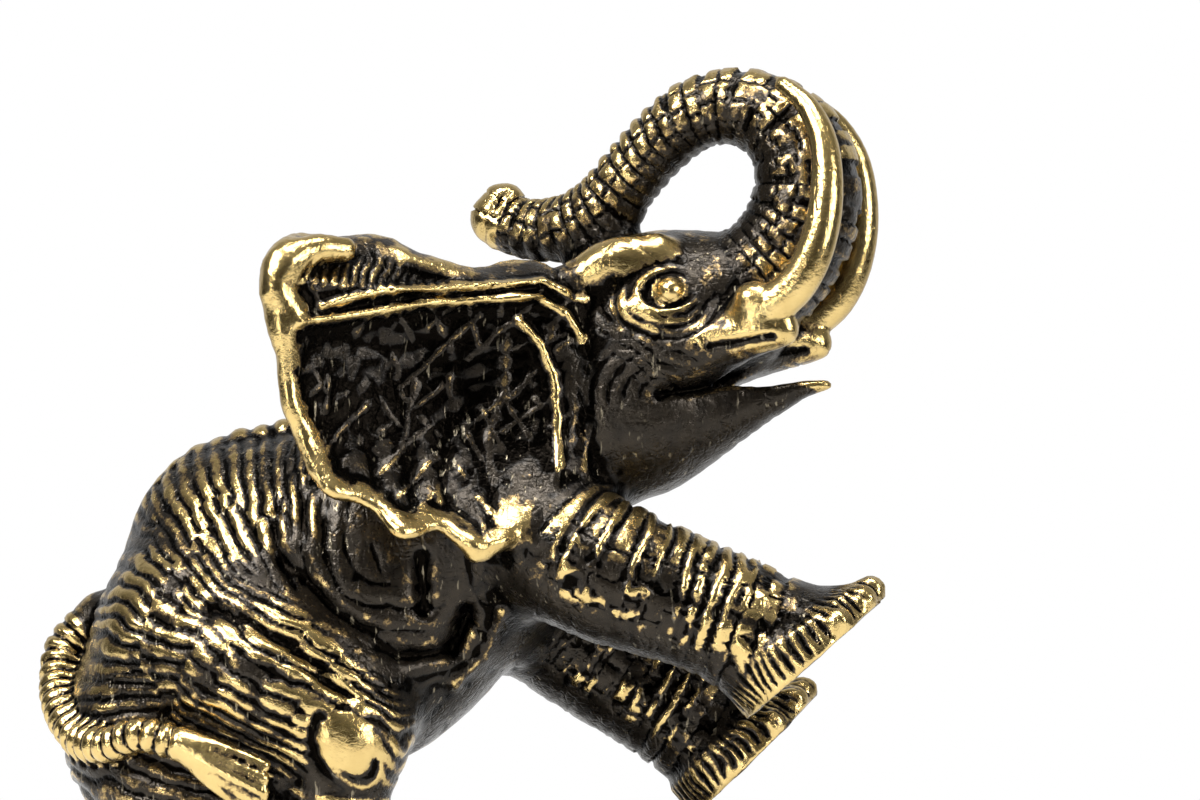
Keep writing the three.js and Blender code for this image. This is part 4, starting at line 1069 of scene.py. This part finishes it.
# ---------- materials ----------
PATINA = ((0.004, 0.003, 0.0022, 1), (0.034, 0.026, 0.017, 1))
PATINA_IN_HOLLOWS = (0.0025, 0.002, 0.0015, 1)
# scratches in the patina, lightened: real scratch marks, whose pale colour also paints a silvery highlight
SCRATCH_AND_PAINTED_HIGHLIGHT = (0.42, 0.36, 0.25, 1)
BRONZE = ((0.13, 0.085, 0.035, 1), (0.24, 0.165, 0.075, 1))  # half worn
BRASS = ((0.40, 0.28, 0.10, 1), (0.66, 0.50, 0.22, 1))  # rubbed bright
SCRATCHES = (((0.3, 0.2, 0.9), 1500), ((1.1, 0.4, -0.5), 1900))  # turn and scale of two sets that cross
SKIN_CELLS = ((1, 1, 0.55), (0.5, 0.9, 0.2), 1150)  # stretch, turn and scale
SMALL_CELLS = ((0.5, 1, 1), (0.2, -0.7, 0.6), 1700)
FLOOR_TONES = ((0.82, 0.82, 0.81, 1), (0.7954, 0.7954, 0.7857, 1))


class Nodes:
    """Short ways to add and join shader nodes."""

    def __init__(self, material):
        material.use_nodes = True
        self.tree = material.node_tree
        self.tree.nodes.clear()

    def add(self, kind, **settings):
        node = self.tree.nodes.new(kind)
        for name, value in settings.items():
            setattr(node, name, value)
        return node

    def join(self, source, target):
        self.tree.links.new(source, target)

    def put(self, value, socket):
        """Links a value that another node gives, and sets a plain one."""
        if isinstance(value, bpy.types.NodeSocket):
            self.join(value, socket)
        else:
            socket.default_value = value

    def feed(self, node, **inputs):
        """Sets or links a node's inputs by name, with _ for a space."""
        for name, value in inputs.items():
            self.put(value, node.inputs[name.replace("_", " ")])
        return node

    def noise(self, vector, scale, detail=3.0, roughness=0.55):
        node = self.add("ShaderNodeTexNoise")
        self.feed(node, Vector=vector, Scale=scale, Detail=detail, Roughness=roughness)
        return node.outputs["Fac"]

    def crackle(self, vector, scale):
        """1 on flats, 0 in the grooves between them."""
        node = self.add("ShaderNodeTexVoronoi", feature="DISTANCE_TO_EDGE")
        self.feed(node, Vector=vector, Scale=scale)
        return self.ramp(node.outputs["Distance"], 0.0, 0.16)

    def math(self, operation, a, b):
        node = self.add("ShaderNodeMath", operation=operation)
        self.put(a, node.inputs[0])
        self.put(b, node.inputs[1])
        return node.outputs[0]

    def scaled(self, value, share, less=0.0):
        """share * (value - less)"""
        if less:
            value = self.math("SUBTRACT", value, less)
        return self.math("MULTIPLY", value, share)

    def total(self, first, *rest):
        for value in rest:
            first = self.math("ADD", first, value)
        return first

    def ramp(self, value, low, high, out_low=0.0, out_high=1.0):
        node = self.add("ShaderNodeMapRange", interpolation_type="SMOOTHSTEP")
        self.feed(node, Value=value, From_Min=low, From_Max=high, To_Min=out_low, To_Max=out_high)
        return node.outputs["Result"]

    def mix(self, factor, a, b):
        """From colour a at 0 to colour b at 1."""
        node = self.add("ShaderNodeMix", data_type="RGBA")
        self.feed(node, Factor=factor)
        self.put(a, node.inputs[6])
        self.put(b, node.inputs[7])
        return node.outputs[2]

    def surface(self, **inputs):
        """One principled shader, as the material's surface."""
        shader = self.feed(self.add("ShaderNodeBsdfPrincipled"), **inputs)
        self.join(shader.outputs["BSDF"], self.add("ShaderNodeOutputMaterial").inputs["Surface"])

    def stretched(self, vector, scale, turn):
        node = self.add("ShaderNodeMapping")
        self.feed(node, Vector=vector, Scale=scale, Rotation=turn)
        return node.outputs["Vector"]


def bronze():
    """Dark patina that turns to bronze and bright brass where the metal is worn."""
    material = bpy.data.materials.new("patinated_bronze")
    n = Nodes(material)
    place = n.add("ShaderNodeTexCoord").outputs["Object"]
    wear = n.add("ShaderNodeAttribute", attribute_name="wear").outputs["Fac"]
    hollow = n.add("ShaderNodeAttribute", attribute_name="hollow").outputs["Fac"]
    speckle = n.noise(place, 2600, 4, 0.65)
    cloud = n.noise(place, 420, 3)
    sets = []
    for turn, scale in SCRATCHES:
        streaks = n.noise(n.stretched(place, (1.0, 1.0, 0.2), turn), scale, 2)
        sets.append(n.ramp(streaks, 0.66, 0.76))
    scratch = n.math("MAXIMUM", *sets)
    worn = n.total(wear, n.scaled(speckle, 0.55, 0.5), n.scaled(cloud, 0.3, 0.5), n.scaled(scratch, 0.1))
    gold = n.ramp(worn, 0.52, 0.82)
    patina = n.mix(n.noise(place, 700, 4), *PATINA)
    patina = n.mix(n.ramp(hollow, 0.42, 0.75), patina, PATINA_IN_HOLLOWS)
    # the patina lightens along the scratches: real wear, plus a painted silvery highlight
    patina = n.mix(n.scaled(scratch, 0.35), patina, SCRATCH_AND_PAINTED_HIGHLIGHT)
    tone = n.mix(n.ramp(gold, 0.0, 0.45), patina, n.mix(cloud, *BRONZE))
    tone = n.mix(n.ramp(gold, 0.35, 0.95), tone, n.mix(cloud, *BRASS))
    gloss = n.total(n.ramp(gold, 0, 1, 0.29, 0.22), n.scaled(speckle, 0.22, 0.5))
    metal = n.math("MAXIMUM", n.ramp(gold, 0, 1, 0.75, 1.0), n.ramp(hollow, 0.45, 0.75))
    cracks = []
    for (stretch, turn, scale), depth in ((SKIN_CELLS, 0.5), (SMALL_CELLS, 0.3)):
        cracks.append(n.scaled(n.crackle(n.stretched(place, stretch, turn), scale), depth))
    crackle = n.math("MULTIPLY", n.total(*cracks), n.ramp(cloud, 0.42, 0.62, 0.1, 0.9))
    crackle = n.math("MULTIPLY", crackle, n.ramp(wear, 0.4, 0.75, 1.0, 0.1))
    grain = n.total(n.scaled(speckle, 0.6), n.scaled(scratch, -0.3))
    relief = n.total(grain, crackle, n.scaled(n.noise(place, 900, 3), 0.9))
    bump_node = n.add("ShaderNodeBump")
    n.feed(bump_node, Strength=0.6, Distance=0.00013, Height=relief)
    n.surface(Base_Color=tone, Metallic=metal, Roughness=gloss, Normal=bump_node.outputs["Normal"])
    return material


def pale_floor():
    material = bpy.data.materials.new("pale_floor")
    n = Nodes(material)
    tint = n.noise(n.add("ShaderNodeTexCoord").outputs["Object"], 30, 3)
    n.surface(Base_Color=n.mix(tint, *FLOOR_TONES), Roughness=0.6)
    return material


# ---------- the studio ----------
PHOTO = {"azimuth": 4, "distance": 400, "target": (23.0, 0, 51.8), "field": 102}
FLOOR = {"radius": 185, "below": 0.1, "corners": 96}
MIDDLE = (12, 0, 45)  # what the lamps face
# each lamp's name, azimuth, elevation, distance, size and power
SOFTBOXES = [
    ("key", -42, 40, 420, (150, 120), 2.6),
    ("top", 15, 74, 380, (110, 110), 1.4),
    ("side", 58, 14, 450, (50, 220), 1.1),
    ("low", -25, -2, 450, (60, 60), 0.3),
]


def floor():
    radius = FLOOR["radius"] * MM
    turns = np.linspace(0, 2 * math.pi, FLOOR["corners"], endpoint=False)
    ring = [(radius * math.cos(turn), radius * math.sin(turn), -FLOOR["below"] * MM) for turn in turns]
    mesh = bpy.data.meshes.new("floor")
    mesh.from_pydata(ring, [], [list(range(len(ring)))])
    mesh.materials.append(pale_floor())
    thing = bpy.data.objects.new("floor", mesh)
    bpy.context.scene.collection.objects.link(thing)


def frame_axes(azimuth, elevation):
    a, e = math.radians(azimuth), math.radians(elevation)
    back = Vector((math.sin(a) * math.cos(e), -math.cos(a) * math.cos(e), math.sin(e)))
    right = Vector((math.cos(a), math.sin(a), 0))
    return right, back.cross(right), back


def camera():
    right, up, back = frame_axes(PHOTO["azimuth"], 0)
    data = bpy.data.cameras.new("photo_camera")
    data.sensor_width = 36
    data.lens = 36 * PHOTO["distance"] / PHOTO["field"]
    data.clip_start, data.clip_end = 0.01, 20
    thing = bpy.data.objects.new("photo_camera", data)
    place = (Vector(PHOTO["target"]) + back * PHOTO["distance"]) * MM
    thing.matrix_world = Matrix.Translation(place) @ Matrix((right, up, back)).transposed().to_4x4()
    bpy.context.scene.collection.objects.link(thing)
    bpy.context.scene.camera = thing


def softbox(name, azimuth, elevation, distance, size, power):
    """A rectangular softbox that faces the figure's middle."""
    _, _, back = frame_axes(azimuth, elevation)
    data = bpy.data.lights.new(name, "AREA")
    data.shape = "RECTANGLE"
    data.size, data.size_y = size[0] * MM, size[1] * MM
    data.energy = power
    thing = bpy.data.objects.new(name, data)
    thing.location = (Vector(MIDDLE) + back * distance) * MM
    thing.rotation_euler = (-back).to_track_quat("-Z", "Y").to_euler()
    bpy.context.scene.collection.objects.link(thing)


def studio():
    """The camera sees plain white, but the metal mirrors a room that is bright behind it and dim above."""
    world = bpy.data.worlds.new("studio")
    bpy.context.scene.world = world
    n = Nodes(world)
    way = n.add("ShaderNodeSeparateXYZ")
    n.join(n.add("ShaderNodeTexCoord").outputs["Generated"], way.inputs[0])
    behind = n.ramp(way.outputs["Y"], 0.1, 0.7, 0.0, 0.75)
    above = n.ramp(way.outputs["Z"], -0.1, 0.95, 0.02, 0.3)
    room = n.mix(n.math("MAXIMUM", behind, above), (0, 0, 0, 1), (1, 1, 1, 1))
    seen = n.add("ShaderNodeLightPath").outputs["Is Camera Ray"]
    background = n.add("ShaderNodeBackground")
    n.feed(background, Color=n.mix(seen, room, (1, 1, 1, 1)), Strength=1.0)
    n.join(background.outputs[0], n.add("ShaderNodeOutputWorld").inputs["Surface"])
    for box in SOFTBOXES:
        softbox(*box)
    bpy.context.scene.view_settings.view_transform = "Standard"


def main():
    camera()
    elephant = bpy.data.objects.new("elephant_cast", cast_elephant())
    bpy.context.scene.collection.objects.link(elephant)
    elephant.data.materials.append(bronze())
    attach(elephant, "root")
    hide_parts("elephant")
    floor()
    studio()


main()
